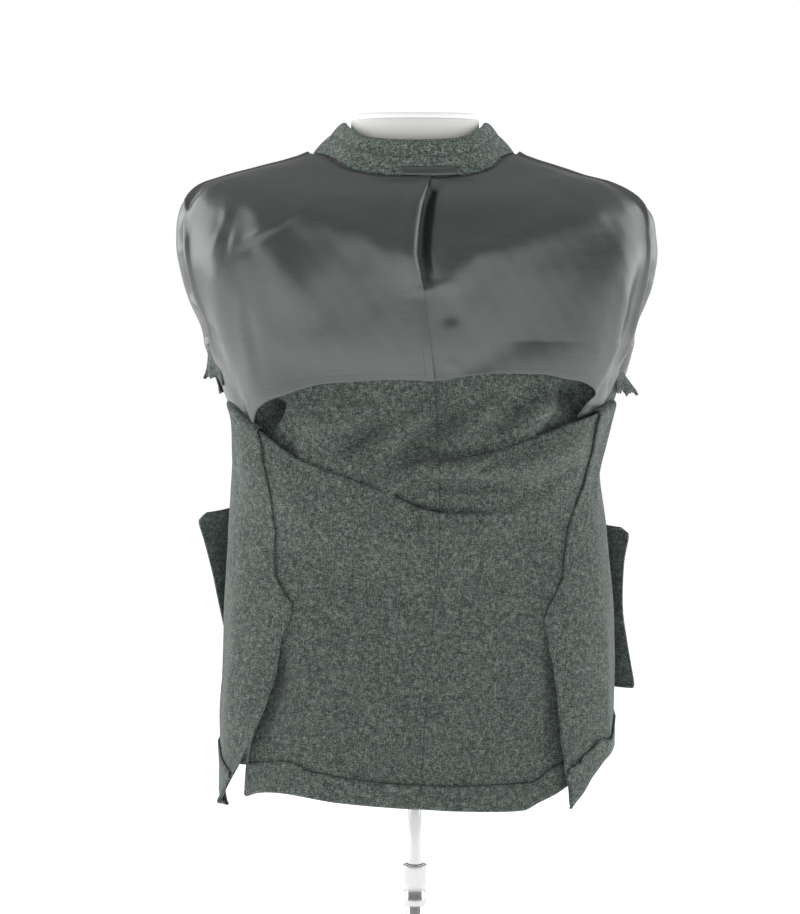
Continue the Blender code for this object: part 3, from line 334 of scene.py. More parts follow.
# The hem of each half of the back lining, from the pleat to the armhole, and how far it hangs
# off the wool.  Both halves run down to a point at the side, tucked behind the waist fold.
LINING_HEM = {
    -1: {
        "columns": ("share", "x", "z", "off"),
        "rows": (
            (0.000, 0.0185, 0.7920, 0.0046),
            (0.200, -0.0200, 0.7930, 0.0040),
            (0.400, -0.0640, 0.7910, 0.0052),
            (0.550, -0.1000, 0.7880, 0.0080),
            (0.680, -0.1280, 0.7790, 0.0120),
            (0.790, -0.1500, 0.7690, 0.0140),
            (0.850, -0.1570, 0.7570, 0.0130),
            (0.885, -0.1590, 0.7370, 0.0140),
            (0.930, -0.1770, 0.7540, 0.0090),
            (0.965, -0.1915, 0.7680, 0.0056),
            (1.000, -0.1990, 0.7860, 0.0060),
        ),
    },
    1: {
        "columns": ("share", "x", "z", "off"),
        "rows": (
            (0.000, -0.0120, 0.7920, 0.0024),
            (0.110, 0.0190, 0.7920, 0.0036),
            (0.250, 0.0500, 0.7970, 0.0070),
            (0.380, 0.0850, 0.8010, 0.0120),
            (0.510, 0.1220, 0.8010, 0.0160),
            (0.610, 0.1450, 0.7965, 0.0180),
            (0.680, 0.1600, 0.7935, 0.0190),
            (0.730, 0.1690, 0.7875, 0.0190),
            (0.765, 0.1725, 0.7800, 0.0175),
            (0.800, 0.1660, 0.7690, 0.0135),
            (0.830, 0.1600, 0.7540, 0.0090),
            (0.870, 0.1770, 0.7560, 0.0058),
            (0.930, 0.1880, 0.7665, 0.0058),
            (1.000, 0.2070, 0.7950, 0.0062),
        ),
    },
}
# The folded edge of the left half of the lining at the centre pleat, how far it lifts there, and
# how far the right half dips under it.
PLEAT = {
    "columns": ("z", "x", "lift", "dip"),
    "rows": (
        (0.792, 0.0190, 0.0010, 0.0000),
        (0.812, 0.0170, 0.0012, 0.0002),
        (0.843, 0.0125, 0.0016, 0.0004),
        (0.868, 0.0095, 0.0010, 0.0000),
        (0.8815, 0.0085, 0.0004, 0.0000),
        (0.899, 0.0045, 0.0060, 0.0090),
        (0.919, 0.0018, 0.0090, 0.0150),
        (0.939, 0.0026, 0.0090, 0.0160),
        (0.970, 0.0078, 0.0070, 0.0120),
        (0.985, 0.0125, 0.0040, 0.0070),
        (0.9977, 0.0165, 0.0010, 0.0000),
    ),
}
PLEAT_UNDER = 0.022      # how far the right half runs under the left

# Sleeves: the outer and the inner side of each section, measured in from the coat's side.
SLEEVE = {
    "columns": ("outer_z", "outer_in", "inner_z", "inner_in", "mid_y", "half_y"),
    "rows": (
        (0.8070, 0.0026, 0.9830, 0.0030, -0.012, 0.0455),
        (0.8020, 0.0100, 0.9690, 0.0300, -0.011, 0.0430),
        (0.7930, 0.0110, 0.9350, 0.0560, -0.009, 0.0480),
        (0.7820, 0.0090, 0.8850, 0.0620, -0.007, 0.0540),
        (0.7630, 0.0060, 0.8200, 0.0480, -0.004, 0.0600),
        (0.7300, 0.0050, 0.7500, 0.0340, 0.000, 0.0640),
        (0.6600, 0.0045, 0.6620, 0.0310, 0.006, 0.0640),
        (0.5600, 0.0045, 0.5600, 0.0300, 0.012, 0.0620),
        (0.4600, 0.0045, 0.4600, 0.0290, 0.010, 0.0580),
        (0.3850, 0.0045, 0.3850, 0.0280, 0.004, 0.0540),
    ),
}

# The collar's top fold, by the share of the neck seam: 0 at the centre back, 1 at the shoulder.
COLLAR = {
    "columns": ("t", "x", "y", "z"),
    "rows": (
        (0.00, 0.0000, -0.0735, 1.0365),
        (0.14, 0.0270, -0.0715, 1.0372),
        (0.30, 0.0520, -0.0600, 1.0410),
        (0.48, 0.0660, -0.0410, 1.0480),
        (0.66, 0.0725, -0.0200, 1.0535),
        (1.00, 0.0745, 0.0050, 1.0562),
        (1.20, 0.0705, 0.0320, 1.0505),
        (1.40, 0.0630, 0.0500, 1.0420),
        (1.60, 0.0530, 0.0640, 1.0300),
    ),
}
COLLAR_SEAM = 0.58       # the share of the height at which the collar joins its stand
# The collar's section: share of the way up from the foot, and how far inside the stand.
COLLAR_SECTION = ((0.60, -0.0002), (0.72, -0.0008), (0.84, -0.0010), (0.94, -0.0006),
                  (1.00, 0.0008), (1.02, 0.0024), (0.99, 0.0040), (0.90, 0.0046),
                  (0.70, 0.0044), (0.36, 0.0038))
LOOP_ENDS = (-0.0127, 0.0445)    # the hanger loop at the foot of the collar stand

# Pocket bags: inner and outer heights of each row, and how far out the free outer edge stands.
POCKETS = {
    -1: {
        "columns": ("inner_z", "outer_z", "outer_x"),
        "rows": (
            (0.6560, 0.6420, 0.2235),
            (0.6500, 0.6370, 0.2290),
            (0.6410, 0.6310, 0.2315),
            (0.6100, 0.6110, 0.2255),
            (0.5700, 0.5780, 0.2170),
            (0.5300, 0.5450, 0.2105),
            (0.4950, 0.5230, 0.2060),
            (0.4870, 0.5170, 0.2040),
        ),
    },
    1: {
        "columns": ("inner_z", "outer_z", "outer_x"),
        "rows": (
            (0.6330, 0.6255, 0.2215),
            (0.6290, 0.6220, 0.2265),
            (0.6220, 0.6160, 0.2292),
            (0.5900, 0.5850, 0.2240),
            (0.5450, 0.5400, 0.2232),
            (0.5000, 0.5000, 0.2288),
            (0.4620, 0.4590, 0.2360),
            (0.4550, 0.4530, 0.2352),
        ),
    },
}
POCKET_COLUMNS = (0.74, 0.26)    # the shares of the front that the bag hangs against
POCKET_FREE_Y = 0.040
POCKET_THICKNESS = 0.0030

# The form's horizontal sections.
FORM = {
    "columns": ("z", "half", "back", "front"),
    "rows": (
        (0.4150, 0.132, -0.082, 0.086),
        (0.4210, 0.138, -0.088, 0.092),
        (0.4700, 0.142, -0.091, 0.096),
        (0.5600, 0.140, -0.086, 0.094),
        (0.6400, 0.137, -0.082, 0.093),
        (0.7200, 0.139, -0.086, 0.098),
        (0.8000, 0.142, -0.096, 0.106),
        (0.8700, 0.144, -0.102, 0.108),
        (0.9200, 0.147, -0.100, 0.100),
        (0.9500, 0.151, -0.092, 0.086),
        (0.9700, 0.154, -0.083, 0.074),
        (0.9850, 0.156, -0.076, 0.064),
        (0.9960, 0.152, -0.070, 0.058),
        (1.0050, 0.137, -0.064, 0.054),
        (1.0120, 0.1208, -0.060, 0.052),
        (1.0180, 0.098, -0.058, 0.054),
        (1.0230, 0.085, -0.057, 0.058),
        (1.0290, 0.074, -0.057, 0.060),
        (1.0380, 0.0675, -0.058, 0.062),
        (1.0600, 0.0665, -0.059, 0.064),
    ),
}

# Creases pressed and pulled into the cloth, each a soft ridge (positive depth) or trough.  The
# ends are given across (x on the back and front, y on the sides) and up.
CREASE_COLUMNS = ("across", "up", "across_end", "up_end", "bow", "width", "depth")
FORM_PAINTED_GLOW = 0.22     # painted light: the white form's jersey and cap glow, so that the form looks very brightly lit
WOOL_CREASES = {
    "back": (
        (-0.157, 0.763, -0.138, 0.755, 0.00, 0.012, -0.0260),    # hollow under the left corner
        (0.148, 0.780, 0.176, 0.772, 0.00, 0.015, -0.0150),      # and under the right one
        (0.006, 0.895, 0.013, 0.980, 0.04, 0.016, -0.0120),      # under the lining's pleat
        (-0.052, 0.766, -0.098, 0.734, 0.03, 0.012, 0.0110),     # drapes falling to the left
        (-0.030, 0.752, -0.072, 0.722, 0.03, 0.009, -0.0080),
        (0.022, 0.764, -0.038, 0.716, 0.05, 0.012, 0.0105),
        (0.050, 0.766, -0.008, 0.714, 0.05, 0.011, -0.0105),
        (0.082, 0.770, 0.040, 0.726, 0.03, 0.012, 0.0110),
        (0.138, 0.772, 0.106, 0.744, 0.00, 0.011, 0.0100),
        (-0.076, 0.776, -0.112, 0.748, 0.00, 0.014, 0.0060),
        (0.106, 0.772, 0.086, 0.740, 0.00, 0.010, -0.0070),
        (-0.010, 0.707, 0.120, 0.709, 0.06, 0.011, 0.0065),      # swell of the roll
        (0.095, 0.700, 0.172, 0.735, 0.05, 0.014, 0.0060),
        (0.095, 0.677, 0.160, 0.700, 0.05, 0.012, -0.0045),
        (0.006, 0.689, 0.100, 0.690, 0.05, 0.010, -0.0060),
        (0.000, 0.669, 0.076, 0.666, 0.05, 0.009, -0.0040),
        (-0.120, 0.690, -0.080, 0.560, 0.03, 0.026, 0.0016),
        (-0.060, 0.660, -0.070, 0.520, 0.02, 0.022, -0.0010),
        (0.070, 0.640, 0.084, 0.480, -0.02, 0.030, 0.0014),
        (0.128, 0.540, 0.136, 0.400, 0.00, 0.020, -0.0030),
        (-0.130, 0.520, -0.146, 0.400, 0.00, 0.022, -0.0030),
        (-0.010, 0.560, 0.000, 0.400, 0.00, 0.030, -0.0008),
        (0.040, 0.440, 0.050, 0.352, 0.00, 0.020, 0.0012),
        (-0.070, 0.450, -0.075, 0.356, 0.00, 0.022, 0.0014),
    ),
    "left": (
        (-0.092, 0.742, -0.070, 0.640, 0.04, 0.007, 0.0022),
        (-0.060, 0.760, -0.040, 0.660, 0.00, 0.014, 0.0020),
        (-0.080, 0.600, -0.060, 0.440, 0.03, 0.014, 0.0022),
        (-0.040, 0.560, -0.030, 0.380, 0.00, 0.016, -0.0020),
        (0.010, 0.760, 0.015, 0.600, 0.00, 0.018, 0.0018),
    ),
    "right": (
        (-0.086, 0.742, -0.062, 0.640, -0.03, 0.007, 0.0030),
        (-0.040, 0.765, -0.048, 0.655, 0.00, 0.010, 0.0030),
        (-0.070, 0.620, -0.060, 0.480, 0.03, 0.012, 0.0022),
        (-0.066, 0.470, -0.060, 0.400, 0.00, 0.010, 0.0026),
        (-0.040, 0.560, -0.030, 0.420, 0.00, 0.016, -0.0020),
        (0.010, 0.760, 0.012, 0.600, 0.00, 0.018, 0.0018),
    ),
    "front": (
        (-0.150, 0.760, -0.040, 0.700, 0.06, 0.016, 0.0030),
        (-0.140, 0.730, -0.050, 0.660, 0.06, 0.015, -0.0026),
        (0.150, 0.765, 0.040, 0.700, -0.06, 0.016, 0.0030),
        (0.150, 0.720, 0.045, 0.665, -0.06, 0.014, -0.0028),
        (-0.110, 0.620, -0.090, 0.430, 0.02, 0.022, 0.0020),
        (0.100, 0.630, 0.112, 0.420, 0.02, 0.022, 0.0022),
        (0.060, 0.560, 0.050, 0.400, 0.00, 0.016, -0.0016),
        (-0.050, 0.500, -0.060, 0.380, 0.00, 0.016, -0.0018),
    ),
}
SATIN_CREASES = {
    "back": (
        (0.222, 0.945, 0.165, 0.798, 0.02, 0.022, 0.0046),       # proud below the right dark band
        (0.196, 0.890, 0.120, 0.786, 0.00, 0.040, 0.0044),
        (0.030, 0.880, 0.076, 0.926, -0.10, 0.015, 0.0036),      # the right half's upper brow
        (0.070, 0.928, 0.188, 0.958, 0.04, 0.019, 0.0040),
        (0.100, 0.925, 0.060, 0.850, 0.00, 0.030, 0.0016),
        (-0.160, 0.968, -0.110, 0.862, 0.03, 0.017, 0.0052),     # proud below the left dark band
        (-0.136, 0.958, -0.004, 0.908, -0.08, 0.020, 0.0042),    # the left half's upper brow
        (-0.050, 0.925, -0.086, 0.850, 0.00, 0.024, -0.0012),
        (-0.192, 0.950, -0.154, 0.800, 0.00, 0.009, -0.0014),
        (-0.178, 0.905, -0.160, 0.790, 0.02, 0.006, 0.0012),
        (-0.200, 0.940, -0.190, 0.800, 0.02, 0.012, 0.0022),
        (-0.040, 0.860, -0.030, 0.800, 0.00, 0.018, 0.0010),
        (0.034, 0.884, 0.036, 0.850, 0.00, 0.008, -0.0030),
        (0.212, 0.900, 0.186, 0.770, 0.03, 0.008, 0.0040),
        (0.228, 0.900, 0.205, 0.800, 0.03, 0.009, -0.0026),
        (0.141, 0.990, 0.162, 0.972, 0.05, 0.004, 0.0012),
        (0.130, 0.984, 0.176, 0.962, 0.05, 0.005, -0.0010),
        (0.230, 0.950, 0.238, 0.925, 0.05, 0.004, 0.0012),
        (-0.169, 0.930, -0.102, 0.969, 0.05, 0.005, 0.0014),
        (-0.176, 0.918, -0.118, 0.955, 0.05, 0.004, -0.0011),
        (-0.203, 0.919, -0.188, 0.962, 0.05, 0.005, 0.0014),
        (-0.188, 0.887, -0.180, 0.940, 0.00, 0.005, 0.0012),
        (-0.090, 0.972, -0.060, 0.975, 0.00, 0.004, 0.0010),
        (-0.045, 1.000, -0.008, 0.984, 0.05, 0.010, 0.0022),     # pulled flat by the neck seam
        (0.024, 0.994, 0.062, 0.990, -0.05, 0.008, 0.0020),
        (0.030, 0.812, 0.048, 0.802, 0.00, 0.005, 0.0012),
        (-0.012, 0.820, -0.004, 0.842, 0.00, 0.004, -0.0009),
        (-0.004, 0.883, 0.014, 0.884, 0.00, 0.004, 0.0018),      # pucker at the pleat's tack
        (0.014, 0.884, 0.034, 0.890, 0.00, 0.005, 0.0016),
    ),
    "left": (
        (-0.050, 0.985, -0.051, 0.905, 0.00, 0.004, -0.0040),    # behind the armhole's lip
        (-0.062, 0.975, -0.062, 0.860, 0.00, 0.004, 0.0018),
        (-0.055, 0.880, -0.080, 0.780, 0.00, 0.006, -0.0016),
    ),
    "right": (
        (-0.040, 0.940, -0.066, 0.800, 0.00, 0.009, 0.0030),
        (-0.030, 0.880, -0.050, 0.800, 0.00, 0.007, -0.0020),
    ),
    "front": (
        (-0.170, 0.940, -0.120, 0.800, 0.03, 0.016, 0.0030),
        (-0.140, 0.960, -0.090, 0.850, 0.02, 0.012, -0.0024),
        (0.170, 0.945, 0.130, 0.800, -0.03, 0.016, 0.0030),
        (0.150, 0.960, 0.095, 0.860, -0.02, 0.012, -0.0022),
        (0.190, 0.900, 0.165, 0.790, 0.00, 0.010, 0.0022),
    ),
}

# ---- Sizes and colours that a user may change --------------------------------------------------


def colour_property(name, description, default):
    """A colour field of a property group."""
    return bpy.props.FloatVectorProperty(name=name, description=description, default=default,
                                         size=3, min=0.0, max=1.0, subtype="COLOR")


def length_property(name, description, default, low, high):
    """A length field of a property group, in metres."""
    return bpy.props.FloatProperty(name=name, description=description, default=default, min=low,
                                   max=high, subtype="DISTANCE", unit="LENGTH", precision=4)


class CoatClothSettings(bpy.types.PropertyGroup):
    """Thicknesses, creases and colours of the coat's cloths."""

    wool: length_property("Wool thickness", "Thickness of the flannel", WOOL, 0.0015, 0.003)
    satin: length_property("Satin thickness", "Thickness of the lining", SATIN, 0.0005, 0.001)
    creases: bpy.props.FloatProperty(name="Creases", description="How deep the creases are",
                                     default=1.0, min=0.0, max=1.5, subtype="FACTOR")
    wool_colour: colour_property("Flannel", "Middle tone of the flannel", (0.099, 0.120, 0.107))
    collar_colour: colour_property("Collar", "Middle tone of the collar", (0.137, 0.168, 0.149))
    # painted light: the pocket bags' flannel is lighter than the body's, standing in for light on
    # bags in shade
    pocket_colour_painted_light: colour_property("Pocket bags", "Middle tone of the pocket bags",
                                   (0.112, 0.136, 0.121))
    satin_colour: colour_property("Satin", "Colour of the lining", (0.040, 0.042, 0.042))
    thread_colour: colour_property("Thread", "Colour of the stitches", (0.030, 0.034, 0.034))
    button_colour: colour_property("Buttons", "Middle tone of the horn", (0.050, 0.042, 0.036))


class CoatFormSettings(bpy.types.PropertyGroup):
    """Colours of the dress form and its stand."""

    jersey_colour: colour_property("Jersey", "Cover of the form", (0.96, 0.96, 0.95))
    cap_colour: colour_property("Neck cap", "Moulded cap of the neck", (0.95, 0.95, 0.945))
    chrome_colour: colour_property("Chrome", "Plating of the mast", (0.66, 0.665, 0.67))
    base_colour: colour_property("Base plate", "Brushed steel of the base", (0.58, 0.585, 0.59))


class CoatStageSettings(bpy.types.PropertyGroup):
    """The floor and the light."""

    floor_colour: colour_property("Floor", "Colour of the floor", (0.95, 0.95, 0.945))
    side_light: bpy.props.FloatProperty(name="Side lights", default=1.0, min=0.0, max=4.0,
                                        description="Strength of the two soft boxes",
                                        subtype="FACTOR")
    room_light: bpy.props.FloatProperty(name="Room light", default=1.0, min=0.0, max=4.0,
                                        description="Strength of the light from all round",
                                        subtype="FACTOR")


def cloth_settings():
    """The cloth settings of the current scene."""
    return bpy.context.scene.coat_cloth


# ---- Reading the tables ------------------------------------------------------------------------


def column(table, name):
    """One column of a table as an array."""
    place = table["columns"].index(name)
    return np.array([row[place] for row in table["rows"]], dtype=float)


def curve(table, name, at):
    """A smooth curve through one column, read at the given values of the table's first column."""
    knots = column(table, table["columns"][0])
    values = column(table, name)
    at = np.clip(np.asarray(at, dtype=float), knots[0], knots[-1])
    slopes = np.gradient(values, knots)
    steps = np.diff(values) / np.diff(knots)
    for i, step in enumerate(steps):
        limit = 3.0 * abs(step)
        slopes[i] = math.copysign(min(abs(slopes[i]), limit), slopes[i])
        slopes[i + 1] = math.copysign(min(abs(slopes[i + 1]), limit), slopes[i + 1])
    index = np.clip(np.searchsorted(knots, at, side="right") - 1, 0, len(knots) - 2)
    width = knots[index + 1] - knots[index]
    t = (at - knots[index]) / width
    start = values[index] * (1 + 2 * t) * (1 - t) ** 2 + slopes[index] * width * t * (1 - t) ** 2
    end = values[index + 1] * t * t * (3 - 2 * t) + slopes[index + 1] * width * t * t * (t - 1)
    return start + end


def smooth(t):
    """A soft step from 0 to 1."""
    t = np.clip(t, 0.0, 1.0)
    return t * t * (3.0 - 2.0 * t)


def unit(vectors):
    """The vectors at length 1."""
    return vectors / np.maximum(np.linalg.norm(vectors, axis=-1, keepdims=True), 1e-12)


def spaced(length, spacing):
    """How many steps of about the given spacing make up a length."""
    return max(2, int(round(length / spacing)))


# ---- The body surface --------------------------------------------------------------------------


def section(z):
    """Centre, half sizes and squareness of the body's section at height z."""
    left, right = curve(BODY, "left", z), curve(BODY, "right", z)
    back, front = curve(BODY, "back", z), curve(BODY, "front", z)
    square = curve(BODY, "square", z)
    return (left + right) / 2, (right - left) / 2, (back + front) / 2, (front - back) / 2, square


def ring_point(s, z):
    """The point at angle s on the body's section at height z, as separate x and y."""
    centre_x, half_x, centre_y, half_y, square = section(z)
    sine, cosine = np.sin(np.pi * s), np.cos(np.pi * s)
    x = centre_x + half_x * np.sign(sine) * np.abs(sine) ** (2 / square)
    y = centre_y - half_y * np.sign(cosine) * np.abs(cosine) ** (2 / square)
    return x, y


def angle_at_x(x, z, front=False):
    """The angle s of the point with this x, on the back or the front of the section at z."""
    centre_x, half_x, _, _, square = section(z)
    share = np.clip((x - centre_x) / half_x, -1.0, 1.0)
    s = np.sign(share) * np.arcsin(np.abs(share) ** (square / 2)) / np.pi
    return np.where(front, np.where(share < 0, -1.0, 1.0) - s, s)


def angle_at_y(y, z, side):
    """The angle s of the point with this y, on the left (-1) or the right (+1) side."""
    _, _, centre_y, half_y, square = section(z)
    share = np.clip((centre_y - y) / half_y, -1.0, 1.0)
    return side * np.arccos(np.sign(share) * np.abs(share) ** (square / 2)) / np.pi


def fold_shift(s, q):
    """How far the waist folds move the cloth down and out."""
    x, _ = ring_point(np.clip(s, -0.5, 0.5), np.full(s.shape, FOLD_Z))
    reach = 1 - smooth((np.abs(s) - FOLD_TAIL[0]) / FOLD_TAIL[1])
    drop, out = np.zeros(s.shape), np.zeros(s.shape)
    for table, proud in ((FOLD_LEFT, -1), (FOLD_RIGHT, -1), (ROLL, 1)):
        half = curve(table, "half", x)
        above = q - curve(table, "z", x) - proud * FOLD_LIP * half
        swing = np.clip(above / half, -1.0, 1.0)
        drop += reach * curve(table, "turn", x) * FOLD_RISE * half * np.sin(np.pi * swing)
        rise = smooth(0.5 + proud * above / (0.9 * half))
        if proud < 0:
            fade = smooth((above + FOLD_FADE[0]) / FOLD_FADE[1])
            rise = rise + fold_rest(table, x, above, half)
        else:
            fade = 1 - smooth((above - ROLL_FADE[0]) / ROLL_FADE[1])
        out += reach * curve(table, "out", x) * rise * fade
    return drop, out


def fold_rest(table, x, above, half):
    """How far the cloth above a fold rests out on it, as a share of the fold's own height.

    It leaves a narrow gap behind the fold's edge, and hangs hollow at the corners of the lining.
    """
    out = np.maximum(curve(table, "out", x), 1e-6)
    level = np.clip(1 - FOLD_MOUTH / out, 0.0, 1.0)
    up = smooth((above / half - 0.30) / 0.40) * (1 - smooth((above - 0.9 * half) / FOLD_LEAN))
    return level * up * (1 - smooth((np.abs(x) - FOLD_CORNER[0]) / FOLD_CORNER[1]))


def surface(s, q, folds=True):
    """Points of the body surface, with the waist folds laid over themselves."""
    s, q = np.broadcast_arrays(np.asarray(s, dtype=float), np.asarray(q, dtype=float))
    drop, out = fold_shift(s, q) if folds else (0.0, 0.0)
    z = q - drop
    x, y = ring_point(s, z)
    centre_x, _, centre_y, _, _ = section(z)
    away = np.hypot(x - centre_x, y - centre_y)
    x = x + out * (x - centre_x) / away
    y = y + out * (y - centre_y) / away
    return np.stack([x, y, z], axis=-1)


def surface_normals(s, q, folds=True):
    """Outward unit normals of the body surface."""
    ds, dq = 0.002, 0.0008
    along = surface(s + ds, q, folds) - surface(s - ds, q, folds)
    up = surface(s, q + dq, folds) - surface(s, q - dq, folds)
    return unit(np.cross(along, up))


def crease_depth(creases, across, up):
    """How far a table of creases moves the cloth out, at places across and up."""
    total = np.zeros(across.shape)
    for a0, u0, a1, u1, bow, width, depth in creases:
        da, du = a1 - a0, u1 - u0
        length = math.hypot(da, du)
        t = ((across - a0) * da + (up - u0) * du) / length ** 2
        off = ((across - a0) * du - (up - u0) * da) / length - bow * length * 4 * t * (1 - t)
        ends = smooth((t + 0.2) / 0.45) * smooth((1.2 - t) / 0.45)
        total += depth * np.exp(-(off / width) ** 2) * ends
    return total


def creased(tables, s, points):
    """The creases of every side of the coat at these points, blended round the corners."""
    turn = np.abs(s)
    back = 1 - smooth((turn - 0.30) / 0.10)
    front = smooth((turn - 0.60) / 0.10)
    side = (1 - back) * (1 - front)
    x, y, z = points[..., 0], points[..., 1], points[..., 2]
    flank = np.where(s < 0, crease_depth(tables["left"], y, z),
                     crease_depth(tables["right"], y, z))
    total = back * crease_depth(tables["back"], x, z) + side * flank
    return (total + front * crease_depth(tables["front"], x, z)) * cloth_settings().creases


def ripple(points, size, depth):
    """A slight unevenness of hanging cloth, a few waves in each direction."""
    x, y, z = points[..., 0] / size, points[..., 1] / size, points[..., 2] / size
    waves = np.sin(x * 2.1 + 1.3 * np.sin(z * 1.1 + 0.4)) * np.cos(z * 0.8 + y * 1.7)
    waves += 0.5 * np.sin(x * 4.3 - z * 1.9 + 1.1) * np.cos(y * 3.9 + z * 0.7)
    waves += 0.25 * np.sin(x * 7.7 + z * 5.1 + y * 6.3)
    return depth * waves


def wool_rise(s, q):
    """How far the creases lift the wool at a place of the body surface."""
    points = surface(s, q)
    return creased(WOOL_CREASES, s, points) + ripple(points, 0.045, 0.0005)


def layer(block, offset):
    """A wool block's points, moved out by its layer and its creases, and their normals."""
    s, q = block
    normals = surface_normals(s, q)
    points = surface(s, q) + normals * (offset + wool_rise(s, q))[..., None]
    return points, grid_normals(points, normals)


def grid_normals(points, like, closed=False):
    """Unit normals of a grid of points, on the same side as the given ones."""
    if closed:
        wide = np.concatenate([points[:, -1:], points, points[:, :1]], axis=1)
        across = wide[:, 2:] - wide[:, :-2]
    else:
        across = np.gradient(points, axis=1)
    normals = unit(np.cross(across, np.gradient(points, axis=0)))
    return normals if np.sum(normals * like) > 0 else -normals


# ---- Seams and rows ----------------------------------------------------------------------------


def line_at_x(name):
    """A seam line of the back, as a function from heights to angles."""
    return lambda z: angle_at_x(curve(SEAMS, name, z), z)


def line_at_y(y, side):
    """A line at one depth along the side of the body."""
    return lambda z: angle_at_y(y + 0.0 * np.asarray(z), z, side)


def shared_line(side):
    """The line where the back starts to run under the side panel."""
    def line(z):
        panel = side * curve(SEAMS, "side_" + SIDES[side], z)
        back = side * curve(SEAMS, "back_" + SIDES[side], z)
        return angle_at_x(side * np.minimum(panel, back - 0.010), z)
    return line


def outer_line(side):
    """The side panel's second line: the back's edge, or a little past the panel's own edge."""
    def line(z):
        panel = side * curve(SEAMS, "side_" + SIDES[side], z)
        back = side * curve(SEAMS, "back_" + SIDES[side], z)
        return angle_at_x(side * np.maximum(panel + 0.006, back), z)
    return line


def front_edge_angle(z, side):
    """The angle of the front's edge at height z; past the centre front it runs over 1."""
    x = curve(FRONT_EDGE, "x", z)
    inside = side * np.abs(angle_at_x(side * np.maximum(x, 0.0), z, front=True))
    _, half_x, _, _, _ = section(np.asarray(z, dtype=float))
    past = np.minimum(x, 0.0) / (half_x * np.pi) * 0.72
    return inside - side * past


def front_edge_line(side):
    """The front's edge, as a function from heights to angles."""
    return lambda z: front_edge_angle(z, side)


def armhole_angle(z, side, front):
    """The angle of the armhole's edge at height z, and of the shoulder seam above it."""
    middle = (ARMHOLE_TOP + ARMHOLE_BOTTOM) / 2
    half = (ARMHOLE_TOP - ARMHOLE_BOTTOM) / 2
    round_off = np.sqrt(np.clip(1 - ((z - middle) / half) ** 2, 0.0, 1.0))
    y = ARMHOLE_Y + (1 if front else -1) * ARMHOLE_HALF_WIDTH * round_off
    angle = angle_at_y(y, z, side)
    return angle + (side * 0.5 - angle) * smooth((z - ARMHOLE_TOP) / 0.012)


LOW_ROWS = np.linspace(0, 1, spaced(FOLD_FOOT - 0.36, COARSE), endpoint=False)
FOLD_ROWS = np.arange(FOLD_FOOT, FOLD_HEAD, FINE)
HIGH_ROWS = np.linspace(0, 1, spaced(UNDERARM_Z - FOLD_HEAD, COARSE) + 1)


def lower_heights(s, top, hems):
    """Heights of the rows from the hem to the underarm, where row i has the angles s[i]."""
    hem = curve(hems, "z", s)
    low, fold = len(LOW_ROWS), len(FOLD_ROWS)
    heights = np.empty(s.shape)
    heights[:low] = hem[:low] + (FOLD_FOOT - hem[:low]) * LOW_ROWS[:, None]
    heights[low:low + fold] = FOLD_ROWS[:, None]
    ends = top(s[low + fold:])
    heights[low + fold:] = FOLD_HEAD + (ends - FOLD_HEAD) * HIGH_ROWS[:, None]
    return heights


def lower_block(lines, places, top, hems=HEM):
    """Angles and heights of a panel below the underarm, its columns between seam lines."""
    count = len(LOW_ROWS) + len(FOLD_ROWS) + len(HIGH_ROWS)
    found = []
    for line in lines:
        s = np.full((count, 1), float(line(np.array([0.7]))[0]))
        for _ in range(10):
            s = line(lower_heights(s, top, hems)[:, 0])[:, None]
        found.append(s[:, 0])
    found = np.array(found)
    low = np.clip(places.astype(int), 0, len(lines) - 2)
    part = places - low
    s = (found[low] * (1 - part)[:, None] + found[low + 1] * part[:, None]).T
    return s, lower_heights(s, top, hems)


def level_top(s):
    """The underarm row of the backs and the fronts."""
    return np.full(s.shape, UNDERARM_Z)


def armhole_top(s):
    """The underarm row of a side panel: the bottom of the armhole."""
    _, y = ring_point(s, np.full(s.shape, UNDERARM_Z - 0.012))
    reach = np.clip((y - ARMHOLE_Y) / ARMHOLE_HALF_WIDTH, -1.0, 1.0)
    middle = (ARMHOLE_TOP + ARMHOLE_BOTTOM) / 2
    top = middle - (middle - ARMHOLE_BOTTOM) * np.sqrt(1 - reach ** 2)
    return np.clip(top, ARMHOLE_BOTTOM, UNDERARM_Z - 0.002)


def stacked(lower, upper):
    """One block from two, the upper one starting on the lower one's last row."""
    return (np.concatenate([lower[0][:-1], upper[0]]), np.concatenate([lower[1][:-1], upper[1]]))


def back_top(side, places):
    """The rows of the back above the underarm."""
    middle = np.linspace(UNDERARM_Z, 0.9977, spaced(0.175, COARSE))[:, None]
    outer = curve(BACK_TOP_ROWS, "outer", middle)
    start = line_at_x("centre")(middle)
    end = armhole_angle(outer, side, False)
    s = start + (end - start) * places[None]
    return s, middle + (outer - middle) * neck_lift(np.clip(places, 0, 1))[None]


def neck_lift(share):
    """How far the neck seam has risen at a share of the way to the shoulder seam."""
    low, high = curve(NECK, "z", 0.0), curve(NECK, "z", 0.5)
    return (curve(NECK, "z", 0.5 * share) - low) / (high - low)


def back_block(side):
    """The back panel of one side, from the hem to the shoulder seam and the neck."""
    lines = [line_at_x("centre"), shared_line(side), line_at_x("back_" + SIDES[side])]
    places = np.concatenate([np.linspace(0, 1, spaced(0.175, COLUMN)), (1.35, 1.7, 2.0)])
    above = np.interp(places, (0, 0.2, 0.4, 0.6, 0.8, 1.0, 2.0),
                      (0, 0.14, 0.30, 0.48, 0.66, 0.84, 1.0))
    return stacked(lower_block(lines, places, level_top, BACK_HEM), back_top(side, above))


def side_block(side):
    """The side panel, from its hem to the underarm."""
    lines = [line_at_x("side_" + SIDES[side]), outer_line(side),
             line_at_y(FRONT_SEAM_Y - UNDERLAP, side), line_at_y(FRONT_SEAM_Y, side)]
    places = np.concatenate([np.linspace(0, 1, 6, endpoint=False),
                             np.linspace(1, 2, spaced(0.120, COLUMN), endpoint=False),
                             np.linspace(2, 3, 5)])
    return lower_block(lines, places, armhole_top)


